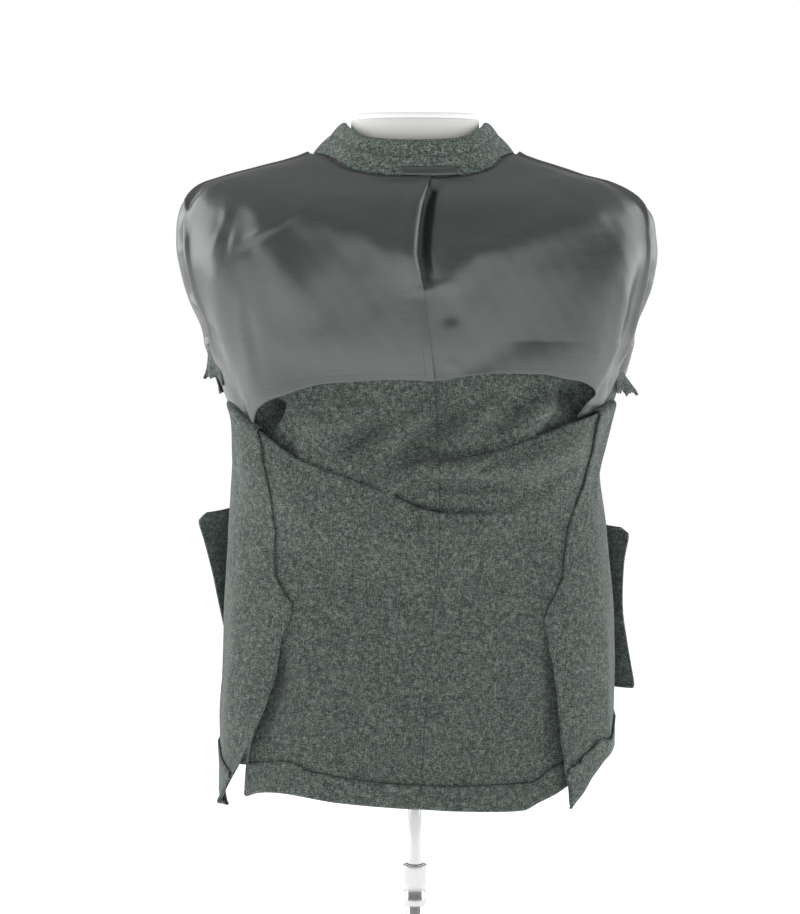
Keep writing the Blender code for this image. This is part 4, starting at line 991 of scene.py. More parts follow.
def front_places():
    """The column places of a front, and the same above the underarm."""
    places = np.concatenate([np.linspace(0, 1, 4, endpoint=False),
                             np.linspace(1, 2, spaced(0.235, COLUMN))])
    above = np.interp(places, (0.0, 1.0, 1.14, 1.28, 1.45, 1.70, 1.85, 2.0),
                      (0.0, 0.07, 0.20, 0.33, 0.48, 0.70, 0.85, 1.0))
    return places, above


def front_block(side):
    """The front of one side, from the hem to the shoulder seam."""
    lines = [line_at_y(FRONT_SEAM_Y - UNDERLAP, side), line_at_y(FRONT_SEAM_Y, side),
             front_edge_line(side)]
    places, above = front_places()
    lower = lower_block(lines, places, level_top)
    outer = np.linspace(UNDERARM_Z, 0.9872, spaced(0.175, COARSE))[:, None]
    inner = curve(FRONT_TOP_ROWS, "inner", outer)
    start = armhole_angle(outer, side, True)
    start = start + (side * 0.5 - start) * smooth((outer - 0.9825) / 0.0047)
    end = front_edge_angle(inner, side)
    end = end + (side * 0.5 - end) * smooth((outer - 0.9825) / 0.0047)
    upper = start + (end - start) * above[None], outer + (inner - outer) * above[None]
    return stacked(lower, upper)


def trimmed(block, left=0.0, right=0.0, bottom=0.0, top=0.0):
    """The block with its edges pulled in by small lengths."""
    s, q = block[0].copy(), block[1].copy()
    points = surface(s, q)
    for cut, edge, inner in ((left, 0, 1), (right, -1, -2)):
        if cut:
            share = cut / np.linalg.norm(points[:, inner] - points[:, edge], axis=-1)
            s[:, edge] += (s[:, inner] - s[:, edge]) * share
            q[:, edge] += (q[:, inner] - q[:, edge]) * share
    for cut, edge, inner in ((bottom, 0, 1), (top, -1, -2)):
        if cut:
            share = cut / np.linalg.norm(points[inner] - points[edge], axis=-1)
            s[edge] += (s[inner] - s[edge]) * share
            q[edge] += (q[inner] - q[edge]) * share
    return s, q


# ---- Making meshes -----------------------------------------------------------------------------


def add_mesh(name, vertices, faces, finish):
    """A smooth mesh object with one finish."""
    mesh = bpy.data.meshes.new(name)
    mesh.from_pydata(np.asarray(vertices, dtype=float).tolist(), [], np.asarray(faces).tolist()
                     if not isinstance(faces, list) else faces)
    mesh.update()
    mesh.shade_smooth()
    made = bpy.data.objects.new(name, mesh)
    bpy.context.scene.collection.objects.link(made)
    mesh.materials.append(finish)
    return made


def grid_faces(rows, columns, closed, first=0):
    """The quads of a grid of vertices, as an array."""
    r = np.arange(rows - 1)[:, None]
    c = np.arange(columns if closed else columns - 1)[None]
    d = (c + 1) % columns
    quads = np.stack([r * columns + c, r * columns + d, (r + 1) * columns + d,
                      (r + 1) * columns + c], axis=-1)
    return quads.reshape(-1, 4) + first


def rim_loops(rows, columns, closed):
    """The border of a grid: pairs of the border point and the point inside it, in loops."""
    if closed:
        low = [(c, columns + c) for c in range(columns)]
        base = (rows - 1) * columns
        high = [(base + c, base - columns + c) for c in range(columns)]
        return [low, high]
    last = columns - 1
    loop = [(c, columns + c) for c in range(columns)]
    loop += [(r * columns + last, r * columns + last - 1) for r in range(1, rows - 1)]
    base = (rows - 1) * columns
    loop += [(base + c, base - columns + c) for c in range(last, -1, -1)]
    loop += [(r * columns, r * columns + 1) for r in range(rows - 2, 0, -1)]
    return [loop]


def shell(name, points, normals, thickness, finish, closed=False):
    """A wall of cloth: a grid of points given a thickness, its edge rounded."""
    rows, columns = points.shape[:2]
    half = np.broadcast_to(np.asarray(thickness) / 2, (rows, columns))[..., None]
    middle = points.reshape(-1, 3)
    outer = (points + normals * half).reshape(-1, 3)
    inner = (points - normals * half).reshape(-1, 3)
    size = rows * columns
    flat_half = half.reshape(-1)
    front = grid_faces(rows, columns, closed)
    across = outer[front[:, 1]] - outer[front[:, 0]]
    up = outer[front[:, 3]] - outer[front[:, 0]]
    facing = np.sum(np.cross(across, up) * normals.reshape(-1, 3)[front[:, 0]]) > 0
    back = front[:, ::-1] + size
    vertices, rims = [outer, inner], []
    first = 2 * size
    for number, loop in enumerate(rim_loops(rows, columns, closed)):
        edge = np.array([pair[0] for pair in loop])
        inside = np.array([pair[1] for pair in loop])
        out = unit(middle[edge] - middle[inside])
        vertices.append(middle[edge] + out * (flat_half[edge] * 0.7)[:, None])
        ring = first + np.arange(len(loop))
        after, next_edge = np.roll(ring, -1), np.roll(edge, -1)
        rim = np.concatenate([np.stack([next_edge, edge, ring, after], axis=-1),
                              np.stack([after, ring, edge + size, next_edge + size], axis=-1)])
        rims.append(rim[:, ::-1] if number else rim)
        first += len(loop)
    faces = np.concatenate([front, back, *rims])
    if not facing:
        faces = faces[:, ::-1]
    return add_mesh(name, np.concatenate(vertices), faces, finish)


def cloth(name, node, points, normals, thickness, finish, closed=False):
    """A piece of cloth in place of its solid."""
    piece = shell(name, points, normals, thickness, finish, closed)
    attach(piece, COAT_BODY)
    if node:
        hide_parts(node)
    return piece


def wool_cloth(name, block, offset, finish=None):
    """A wool piece on the body surface."""
    points, normals = layer(block, offset)
    return cloth("wool_" + name, name, points, normals, cloth_settings().wool,
                 finish or flannel())


def tube(path, radius, segments=6):
    """Vertices and faces of a closed round tube along a path, its ends capped flat."""
    path = np.asarray(path, dtype=float)
    along = unit(np.gradient(path, axis=0))
    guide = np.where(np.abs(along[:, 2:3]) < 0.9, (0.0, 0.0, 1.0), (1.0, 0.0, 0.0))
    side = unit(np.cross(along, guide))
    up = np.cross(side, along)
    turn = np.arange(segments) * 2 * np.pi / segments
    ring = side[:, None] * np.cos(turn)[None, :, None] + up[:, None] * np.sin(turn)[None, :, None]
    size = np.broadcast_to(np.asarray(radius, dtype=float), (len(path),))
    vertices = (path[:, None] + ring * size[:, None, None]).reshape(-1, 3)
    faces = grid_faces(len(path), segments, True).tolist()
    faces.append(list(range(segments))[::-1])
    faces.append(list(range((len(path) - 1) * segments, len(path) * segments)))
    return vertices, faces


def joined(parts):
    """Vertices and faces of several parts as one."""
    vertices, faces, first = [], [], 0
    for part_vertices, part_faces in parts:
        vertices.append(part_vertices)
        faces += [[first + i for i in face] for face in part_faces]
        first += len(part_vertices)
    return np.concatenate(vertices), faces


def stitches(name, path, normals, body=COAT_BODY, length=0.0026, gap=0.0012, radius=0.00022):
    """A row of sewn stitches along a path on a surface."""
    steps = np.linalg.norm(np.diff(path, axis=0), axis=-1)
    run = np.concatenate([[0.0], np.cumsum(steps)])
    count = int(run[-1] / (length + gap))
    starts = np.arange(count) * (length + gap) + gap
    parts = []
    for start in starts:
        at = start + length * np.array((0.0, 0.18, 0.5, 0.82, 1.0))
        bed = np.stack([np.interp(at, run, path[:, k]) for k in range(3)], axis=-1)
        up = np.stack([np.interp(at, run, normals[:, k]) for k in range(3)], axis=-1)
        lift = radius * np.array((-0.8, 0.35, 0.6, 0.35, -0.8))
        parts.append(tube(bed + up * lift[:, None], radius, 5))
    piece = add_mesh(name, *joined(parts), thread())
    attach(piece, body)
    return piece


def lathe(name, profile, finish, segments=96):
    """A turned piece about the Z axis from (radius, height) points round its whole section."""
    profile = np.asarray(profile, dtype=float)
    turn = np.arange(segments) * 2 * np.pi / segments
    ring = np.stack([np.cos(turn)[:, None] * profile[None, :, 0],
                     np.sin(turn)[:, None] * profile[None, :, 0],
                     np.broadcast_to(profile[None, :, 1], (segments, len(profile)))], axis=-1)
    size = len(profile)
    k = np.arange(segments)[:, None]
    i = np.arange(size)[None]
    after, j = (k + 1) % segments, (i + 1) % size
    faces = np.stack([k * size + i, after * size + i, after * size + j, k * size + j], axis=-1)
    area = np.sum(profile[:, 0] * np.roll(profile[:, 1], -1)
                  - np.roll(profile[:, 0], -1) * profile[:, 1])
    faces = faces.reshape(-1, 4)
    if area < 0:
        faces = faces[:, ::-1]
    return add_mesh(name, ring.reshape(-1, 3), faces, finish)


def loft(name, rings, finish):
    """A solid through closed rings, capped at both ends."""
    rings = np.asarray(rings, dtype=float)
    count, size = rings.shape[:2]
    faces = grid_faces(count, size, True).tolist()
    faces.append(list(range(size))[::-1])
    faces.append(list(range((count - 1) * size, count * size)))
    return add_mesh(name, rings.reshape(-1, 3), faces, finish)


# ---- Finishes ----------------------------------------------------------------------------------


def new_finish(name, colour, roughness, metallic=0.0):
    """A Principled material and its node tree, shader and object coordinates."""
    made = bpy.data.materials.new(name)
    made.use_nodes = True
    tree = made.node_tree
    shader = tree.nodes["Principled BSDF"]
    shader.inputs["Base Color"].default_value = (*colour, 1.0)
    shader.inputs["Roughness"].default_value = roughness
    shader.inputs["Metallic"].default_value = metallic
    coordinates = tree.nodes.new("ShaderNodeTexCoord").outputs["Object"]
    return made, tree, shader, coordinates


def noise(tree, where, scale, detail=2.0, roughness=0.5, stretch=None):
    """A noise texture's value; stretch scales the coordinates first."""
    if stretch:
        mapping = tree.nodes.new("ShaderNodeMapping")
        mapping.inputs["Scale"].default_value = stretch
        tree.links.new(where, mapping.inputs["Vector"])
        where = mapping.outputs["Vector"]
    node = tree.nodes.new("ShaderNodeTexNoise")
    node.inputs["Scale"].default_value = scale
    node.inputs["Detail"].default_value = detail
    node.inputs["Roughness"].default_value = roughness
    tree.links.new(where, node.inputs["Vector"])
    return node.outputs["Fac"]


def math_node(tree, kind, first, second):
    """A Math node of two values, each a socket or a number."""
    node = tree.nodes.new("ShaderNodeMath")
    node.operation = kind
    for socket, value in zip(node.inputs, (first, second)):
        if isinstance(value, (int, float)):
            socket.default_value = value
        else:
            tree.links.new(value, socket)
    return node.outputs[0]


def ramp(tree, value, stops):
    """A colour ramp through (place, colour) stops."""
    node = tree.nodes.new("ShaderNodeValToRGB")
    elements = node.color_ramp.elements
    while len(elements) < len(stops):
        elements.new(0.5)
    for element, (place, colour) in zip(elements, stops):
        element.position = place
        element.color = (*colour, 1.0)
    tree.links.new(value, node.inputs["Fac"])
    return node.outputs["Color"]


def mixed(tree, kind, share, first, second):
    """A Mix node of two colours; the share is a number or a socket."""
    node = tree.nodes.new("ShaderNodeMix")
    node.data_type = "RGBA"
    node.blend_type = kind
    if isinstance(share, (int, float)):
        node.inputs["Factor"].default_value = share
    else:
        tree.links.new(share, node.inputs["Factor"])
    for socket, value in ((node.inputs["A"], first), (node.inputs["B"], second)):
        if isinstance(value, tuple):
            socket.default_value = (*value, 1.0)
        else:
            tree.links.new(value, socket)
    return node.outputs["Result"]


def spread_range(tree, value, low, high):
    """A value between 0 and 1 set out between two others."""
    node = tree.nodes.new("ShaderNodeMapRange")
    node.inputs["To Min"].default_value = low
    node.inputs["To Max"].default_value = high
    tree.links.new(value, node.inputs["Value"])
    return node.outputs["Result"]


def bump(tree, shader, heights, distance, strength=1.0):
    """The shader's bump, from several heights one on the other."""
    normal = None
    for height, share in heights:
        node = tree.nodes.new("ShaderNodeBump")
        node.inputs["Strength"].default_value = strength
        node.inputs["Distance"].default_value = distance * share
        tree.links.new(height, node.inputs["Height"])
        if normal is not None:
            tree.links.new(normal, node.inputs["Normal"])
        normal = node.outputs["Normal"]
    tree.links.new(normal, shader.inputs["Normal"])


def scaled(colour, factor):
    """A colour made lighter or darker."""
    return tuple(min(1.0, value * factor) for value in colour)


def heather(name, colour, contrast=1.0):
    """Milled wool: dark and light fibres felted together, with a short soft nap."""
    made, tree, shader, where = new_finish(name, colour, 0.92)
    fleck = noise(tree, where, 900.0, 2.0, 0.6)
    patch = noise(tree, where, 190.0, 2.0, 0.5)
    cloud = noise(tree, where, 24.0, 3.0, 0.55)
    strand = noise(tree, where, 760.0, 2.0, 0.5, stretch=(1.0, 1.0, 0.28))
    cross = noise(tree, where, 760.0, 2.0, 0.5, stretch=(0.28, 0.28, 1.0))
    mix = math_node(tree, "MULTIPLY", fleck, 0.44)
    for part, share in ((patch, 0.16), (strand, 0.20), (cross, 0.20)):
        mix = math_node(tree, "ADD", mix, math_node(tree, "MULTIPLY", part, share))
    tone = ramp(tree, mix, ((0.41, scaled(colour, 1.0 - 0.66 * contrast)),
                            (0.48, scaled(colour, 1.0 - 0.26 * contrast)),
                            (0.52, scaled(colour, 1.0 + 0.14 * contrast)),
                            (0.60, scaled(colour, 1.0 + 1.30 * contrast))))
    tint = ramp(tree, cloud, ((0.30, (0.90, 0.90, 0.91)), (0.70, (1.0, 1.0, 1.0))))
    tree.links.new(mixed(tree, "MULTIPLY", 1.0, tone, tint), shader.inputs["Base Color"])
    tree.links.new(spread_range(tree, patch, 0.86, 0.98), shader.inputs["Roughness"])
    shader.inputs["Specular IOR Level"].default_value = 0.18
    shader.inputs["Sheen Weight"].default_value = 0.16
    shader.inputs["Sheen Roughness"].default_value = 0.5
    bump(tree, shader, ((fleck, 1.0), (strand, 0.6), (cross, 0.6)), 0.0006, 0.55)
    return made


def made_once(name, maker):
    """The named material, made by its maker the first time."""
    return bpy.data.materials.get(name) or maker()


def flannel():
    """Charcoal flannel of the body and the sleeves."""
    return made_once("charcoal_flannel",
                     lambda: heather("charcoal_flannel", cloth_settings().wool_colour))


def collar_flannel():
    """The lighter face of the collar."""
    return made_once("collar_flannel",
                     lambda: heather("collar_flannel", cloth_settings().collar_colour, 1.1))


def pocket_flannel_painted_light():
    """The pocket bags' flannel, lighter than the body's: painted light on bags that hang in shade.
    """
    return made_once("pocket_flannel_painted_light",
                     lambda: heather("pocket_flannel_painted_light", cloth_settings().pocket_colour_painted_light, 0.9))


def make_satin():
    """Charcoal satin: smooth floats of thread over a fine weave, with a soft gloss."""
    colour = cloth_settings().satin_colour
    made, tree, shader, where = new_finish("lining_satin", colour, 0.42)
    weft = noise(tree, where, 900.0, 1.0, 0.4, stretch=(0.10, 0.10, 1.6))
    warp = noise(tree, where, 900.0, 1.0, 0.4, stretch=(1.4, 1.4, 0.06))
    grain = noise(tree, where, 700.0, 2.0, 0.5)
    slub = noise(tree, where, 60.0, 2.0, 0.5, stretch=(0.2, 0.2, 3.0))
    tone = ramp(tree, weft, ((0.25, scaled(colour, 0.82)), (0.75, scaled(colour, 1.18))))
    shade = ramp(tree, slub, ((0.3, (0.94, 0.94, 0.94)), (0.7, (1.0, 1.0, 1.0))))
    tree.links.new(mixed(tree, "MULTIPLY", 1.0, tone, shade), shader.inputs["Base Color"])
    tree.links.new(spread_range(tree, slub, 0.26, 0.34), shader.inputs["Roughness"])
    shader.inputs["IOR"].default_value = 1.65
    shader.inputs["Specular IOR Level"].default_value = 0.95
    shader.inputs["Specular Tint"].default_value = (0.93, 1.0, 0.98, 1.0)
    shader.inputs["Sheen Weight"].default_value = 0.04
    shader.inputs["Sheen Roughness"].default_value = 0.3
    bump(tree, shader, ((warp, 1.0), (weft, 1.0), (grain, 1.6)), 0.00012, 0.5)
    return made


def satin_finish():
    """The lining's satin."""
    return made_once("lining_satin", make_satin)


def make_thread():
    """Twisted sewing thread."""
    made, tree, shader, where = new_finish("sewing_thread", cloth_settings().thread_colour, 0.6)
    twist = noise(tree, where, 2600.0, 1.0, 0.5)
    colour = cloth_settings().thread_colour
    tone = ramp(tree, twist, ((0.3, scaled(colour, 0.6)), (0.7, scaled(colour, 1.5))))
    tree.links.new(tone, shader.inputs["Base Color"])
    bump(tree, shader, ((twist, 1.0),), 0.0001)
    return made


def thread():
    """The thread of every stitch."""
    return made_once("sewing_thread", make_thread)


def make_horn():
    """Polished horn with clouded streaks."""
    colour = cloth_settings().button_colour
    made, tree, shader, where = new_finish("clouded_horn", colour, 0.3)
    streak = noise(tree, where, 160.0, 4.0, 0.6, stretch=(0.4, 1.0, 1.8))
    tone = ramp(tree, streak, ((0.3, scaled(colour, 0.45)), (0.55, colour),
                               (0.75, scaled(colour, 2.4))))
    tree.links.new(tone, shader.inputs["Base Color"])
    tree.links.new(spread_range(tree, streak, 0.24, 0.40), shader.inputs["Roughness"])
    bump(tree, shader, ((streak, 1.0),), 0.0001, 0.4)
    return made


def make_jersey():
    """White knitted cover of the form, in fine ribs, with a painted glow of bright light."""
    colour = bpy.context.scene.coat_form.jersey_colour
    made, tree, shader, where = new_finish("form_jersey", colour, 0.85)
    rib = tree.nodes.new("ShaderNodeTexWave")
    rib.bands_direction = "X"
    rib.inputs["Scale"].default_value = 190.0
    rib.inputs["Distortion"].default_value = 0.6
    tree.links.new(where, rib.inputs["Vector"])
    loops = noise(tree, where, 1100.0, 1.0, 0.5)
    tone = ramp(tree, loops, ((0.3, scaled(colour, 0.94)), (0.7, colour)))
    tree.links.new(tone, shader.inputs["Base Color"])
    shader.inputs["Sheen Weight"].default_value = 0.1
    # painted light: the jersey glows as though very brightly lit
    shader.inputs["Emission Color"].default_value = (1.0, 1.0, 1.0, 1.0)
    shader.inputs["Emission Strength"].default_value = FORM_PAINTED_GLOW
    bump(tree, shader, ((rib.outputs["Fac"], 1.0), (loops, 0.6)), 0.0002, 0.4)
    return made


def make_cap():
    """Moulded cap with a fine matt grain, with a painted glow of bright light."""
    colour = bpy.context.scene.coat_form.cap_colour
    made, tree, shader, where = new_finish("moulded_cap", colour, 0.45)
    grain = noise(tree, where, 1500.0, 2.0, 0.5)
    tree.links.new(ramp(tree, grain, ((0.3, scaled(colour, 0.96)), (0.7, colour))),
                   shader.inputs["Base Color"])
    tree.links.new(spread_range(tree, grain, 0.40, 0.52), shader.inputs["Roughness"])
    # painted light: the cap glows as though very brightly lit
    shader.inputs["Emission Color"].default_value = (1.0, 1.0, 1.0, 1.0)
    shader.inputs["Emission Strength"].default_value = FORM_PAINTED_GLOW
    bump(tree, shader, ((grain, 1.0),), 0.00008, 0.5)
    return made


def make_chrome():
    """Plated steel with faint smears and wipe marks."""
    colour = bpy.context.scene.coat_form.chrome_colour
    made, tree, shader, where = new_finish("plated_chrome", colour, 0.12, 1.0)
    smear = noise(tree, where, 45.0, 4.0, 0.6, stretch=(1.0, 1.0, 0.35))
    tone = ramp(tree, smear, ((0.3, scaled(colour, 0.93)), (0.7, scaled(colour, 1.04))))
    tree.links.new(tone, shader.inputs["Base Color"])
    tree.links.new(spread_range(tree, smear, 0.08, 0.22), shader.inputs["Roughness"])
    return made


def make_base_steel():
    """Brushed steel of the base, its brush lines round the middle."""
    colour = bpy.context.scene.coat_form.base_colour
    made, tree, shader, where = new_finish("brushed_steel", colour, 0.3, 1.0)
    apart = tree.nodes.new("ShaderNodeSeparateXYZ")
    tree.links.new(where, apart.inputs["Vector"])
    squares = math_node(tree, "ADD", math_node(tree, "POWER", apart.outputs["X"], 2.0),
                        math_node(tree, "POWER", apart.outputs["Y"], 2.0))
    radius = math_node(tree, "SQRT", squares, 0.0)
    together = tree.nodes.new("ShaderNodeCombineXYZ")
    tree.links.new(radius, together.inputs["X"])
    tree.links.new(math_node(tree, "MULTIPLY", apart.outputs["Z"], 1.0), together.inputs["Z"])
    lines = noise(tree, together.outputs["Vector"], 1600.0, 3.0, 0.6)
    wear = noise(tree, where, 30.0, 4.0, 0.6)
    tone = ramp(tree, lines, ((0.3, scaled(colour, 0.86)), (0.7, scaled(colour, 1.05))))
    tree.links.new(tone, shader.inputs["Base Color"])
    tree.links.new(spread_range(tree, wear, 0.26, 0.42), shader.inputs["Roughness"])
    bump(tree, shader, ((lines, 1.0),), 0.00005, 0.4)
    return made


# ---- The coat's pieces -------------------------------------------------------------------------

VENT_SINK = {-1: 0.0085, 1: 0.0065}    # how far the back sinks beside the vents
VENT_FLARE = {-1: 0.012, 1: 0.014}    # how far a side panel's free edge stands out at the hem
VENT_TOP, VENT_SPAN = 0.500, 0.140
VENT_SINK_TOP, HEM_CORNER = 0.545, 0.400
UNDERARM_EASE, EASE_FROM, EASE_SPAN = 0.0008, 0.680, 0.060
FACING_PLACE = 1.70      # the place across a front where its facing starts
LAPEL_FOOT, LAPEL_HEAD = 0.757, 0.972
LAPEL_THICKNESS = 0.0030
ROUND_EDGE = 0.0025      # how far a lining or facing stops short of the shoulder and the neck
LINING_OFF, SEWN_OFF = 0.0080, 0.0022
LINING_SIDE_OFF = 0.0040
PLEAT_STITCH = 0.0085    # how far the pleat's stitches lie inside its edge
TURN_UP_WAVE = {-1: 0.0004, 1: 0.0016}    # how far the turn-up's upper edge wanders
# The frayed ends at the underarm: top, length, how far the ends stand out, how late they bend.
TAB = {-1: (0.8260, 0.0310, 0.0105, 1.1), 1: (0.7960, 0.0150, 0.0160, 1.0)}
# The lip of satin rolled over the armhole's front edge, from its own edge out: how far it runs
# back over the armhole, and how far out to the side.
LIP = ((0.040, -0.0190), (0.038, -0.0150), (0.035, -0.0110), (0.031, -0.0075), (0.026, -0.0042),
       (0.020, -0.0014), (0.013, 0.0004), (0.006, 0.0008))
LIP_SIZE = {
    -1: {
        "columns": ("z", "size"),
        "rows": ((0.780, 0.06), (0.815, 0.10), (0.838, 0.80), (0.868, 0.95), (0.880, 0.66),
                 (0.905, 0.66), (0.922, 1.00), (0.962, 1.00), (0.984, 0.10), (0.990, 0.06)),
    },
    1: {
        "columns": ("z", "size"),
        "rows": ((0.780, 0.06), (0.790, 0.10), (0.802, 0.50), (0.852, 0.50), (0.864, 0.40),
                 (0.886, 0.40), (0.900, 1.00), (0.962, 1.00), (0.984, 0.10), (0.990, 0.06)),
    },
}


def turn_up(name, panel, hem, top, offset, lift=0.0005):
    """A hem turned up on the outside: it wraps the panel's edge and lies on it.

    panel is the block of the panel's own columns.  hem and top have one value for each column,
    and offset(q) gives the panel's own layer.
    """
    step = cloth_settings().wool + GAP
    bend = np.linspace(-0.15, 0.5, 7)[:, None] * np.pi
    rows_up = np.linspace(0, 1, spaced(float(np.mean(top - hem)), 0.003))[1:, None]
    q = np.concatenate([hem - step * np.cos(bend), hem + (top - hem) * rows_up])
    out = np.concatenate([step * np.sin(bend) + 0.0 * hem,
                          step + lift * smooth((rows_up - 0.6) / 0.4) + 0.0 * hem])
    s = np.stack([np.interp(q[:, k], panel[1][:, k], panel[0][:, k])
                  for k in range(q.shape[1])], axis=1)
    return wool_cloth(name, (s, q), offset(q) + out)


def back_offset(height, side):
    """How far a back panel sinks behind the free edge of the side panel, below the vent's top."""
    across = np.linspace(0, 1, height.shape[1])
    return -(VENT_SINK[side] * smooth((VENT_SINK_TOP - height) / 0.050)
             * smooth((height - HEM_CORNER) / 0.060) * smooth((across - 0.78) / 0.17))


def build_back(side):
    """A back panel and its hem turn-up."""
    block = back_block(side)
    panel = trimmed(block, left=EDGE_GAP * 1.7, right=EDGE_GAP * 2, top=EDGE_GAP)
    name = SIDES[side]
    wool_cloth("back_" + name, panel, back_offset(panel[1], side))
    s = panel[0][0, :]
    hem = curve(BACK_HEM, "z", s)
    x, _ = ring_point(s, hem)
    turn_up("back_turn_up_" + name, panel, hem, curve(BACK_TURN_UP, "z", x),
            lambda q: back_offset(q, side))


def side_offset(height, share, side):
    """How far a side panel lies off the body surface, at a share of the way to the front."""
    flare = VENT_FLARE[side] * smooth((VENT_TOP - height) / VENT_SPAN) * (1 - share) ** 2
    ease = UNDERARM_EASE * smooth((height - EASE_FROM) / EASE_SPAN)
    edge = 0.0006 * np.exp(-(share / 0.03) ** 2) * (1 + 0.7 * np.sin(height * 95.0))
    return cloth_settings().wool + GAP + flare + ease + edge


def build_side_panel(side):
    """A side panel over the edges of the back and the front, and its hem turn-up."""
    name = SIDES[side]
    s, q = side_block(side)
    columns = s.shape[1]
    row = len(LOW_ROWS) + len(FOLD_ROWS) // 2
    points = surface(s[row], q[row])
    run = np.concatenate([[0], np.cumsum(np.linalg.norm(np.diff(points, axis=0), axis=-1))])
    share = (run / run[-1])[None]
    waver = 0.0011 * np.sin(q * 88.0) + 0.0007 * np.sin(q * 203.0 + 1.0)
    s = s + side * waver * np.exp(-(share / 0.08) ** 2)
    wool_cloth("side_panel_" + name, (s, q), side_offset(q, share, side))
    hem = curve(HEM, "z", s[0])
    rise = curve(SIDE_TURN_UP[side], "rise", share[0])
    top = hem + rise + TURN_UP_WAVE[side] * np.sin(share[0] * 52.0)
    lift = 0.0012 if side > 0 else 0.0003
    flutter = 1 + 0.9 * np.sin(np.linspace(0, 30, columns))
    turn_up("side_turn_up_" + name, (s, q), hem, top,
            lambda rows: side_offset(rows, share, side),
            lift * flutter * (1 - 0.85 * smooth((share[0] - 0.45) / 0.20)))
    build_underarm_tab(side)


def build_underarm_tab(side):
    """The frayed ends of the seam allowances that stick out at the underarm."""
    across = np.linspace(0, 1, 44)
    down = np.linspace(0, 1, 16)[:, None]
    teeth = 0.30 * np.sin(across * 17.0 + side) + 0.32 * np.sin(across * 41.0)
    teeth += 0.20 * np.sin(across * 83.0 + 2.0) + 0.35 * np.sin(across * 6.0 + 0.6)
    head, low, out, bend = TAB[side]
    tail = 0.0090 * np.exp(-((across - 0.10) / 0.07) ** 2) * max(-side, 0)
    q = head - (low + 0.0030 * teeth + tail) * down
    spike = 0.0050 * np.exp(-((across - 0.80) / 0.07) ** 2) * down ** 5
    lean = 0.25 + 0.75 * smooth(across * 1.6) + 0.10 * np.sin(across * 19.0)
    off = 0.0036 + out * lean * down ** bend + spike
    s = np.broadcast_to(side * (0.395 + 0.100 * across), q.shape)
    wool_cloth("underarm_tab_" + SIDES[side], (s, q), off)


def front_offset(block, places, side):
    """How far a front lies out of the body surface: the left passes over the right."""
    if side > 0:
        return np.zeros(block[0].shape)
    ramp = smooth((places - 1.62) / 0.20)
    closed = smooth((0.830 - block[1]) / 0.050)
    return LAP_STEP * ramp[None, :] * closed


def part_of(block, offset, rows, columns):
    """Part of a block and of its offsets."""
    return (block[0][rows, columns], block[1][rows, columns]), offset[rows, columns]


def build_front(side):
    """A front with its turn-up, facing and turned-in lapel."""
    name = SIDES[side]
    block = front_block(side)
    places, _ = front_places()
    offset = front_offset(block, places, side)
    wool_cloth("front_" + name, trimmed(block, right=EDGE_GAP, top=EDGE_GAP * 2), offset)
    step = cloth_settings().wool + GAP
    start = int(np.searchsorted(places, 1.0))
    facing = int(np.searchsorted(places, FACING_PLACE))
    band = slice(start, facing)
    hem = curve(HEM, "z", block[0][0, band])
    turn_up("front_turn_up_" + name, (block[0][:, band], block[1][:, band]), hem, hem + 0.030,
            lambda q: np.broadcast_to(offset[0, band], q.shape))
    strip, off = part_of(block, offset, slice(0, None), slice(facing, None))
    wool_cloth("front_facing_" + name,
               trimmed(strip, left=EDGE_GAP, right=EDGE_GAP, top=ROUND_EDGE), off + step)
    outer = block[1][:, 0]
    rows = slice(int(np.searchsorted(outer, LAPEL_FOOT)), int(np.searchsorted(outer, LAPEL_HEAD)))
    leaf, off = part_of(block, offset, rows, slice(facing, None))
    leaf = trimmed(leaf, right=EDGE_GAP)
    behind = off - cloth_settings().wool / 2 - GAP - LAPEL_THICKNESS / 2
    points, normals = layer(leaf, behind)
    cloth("wool_lapel_" + name, "lapel_" + name, points, normals, LAPEL_THICKNESS,
          flannel())


def satin_layer(block, offset):
    """A lining block's points off the body surface, with the satin's creases."""
    s, q = block
    base = surface(s, q, folds=False)
    normals = surface_normals(s, q, folds=False)
    rise = creased(SATIN_CREASES, s, base) + ripple(base, 0.030, 0.0004)
    edge = np.ones(s.shape)
    steps = np.linspace(0, 1, s.shape[0])[:, None]
    edge = edge * smooth((1 - steps) / 0.09)
    points = base + normals * np.maximum(offset + rise * edge, satin_floor(s, q, base))[..., None]
    return points, grid_normals(points, normals)


def satin_floor(s, q, base):
    """The least that the lining stands off the body surface, clear of the wool."""
    wool_up = creased(WOOL_CREASES, s, base) + ripple(base, 0.045, 0.0005)
    return wool_up + (cloth_settings().wool + cloth_settings().satin) / 2 + GAP


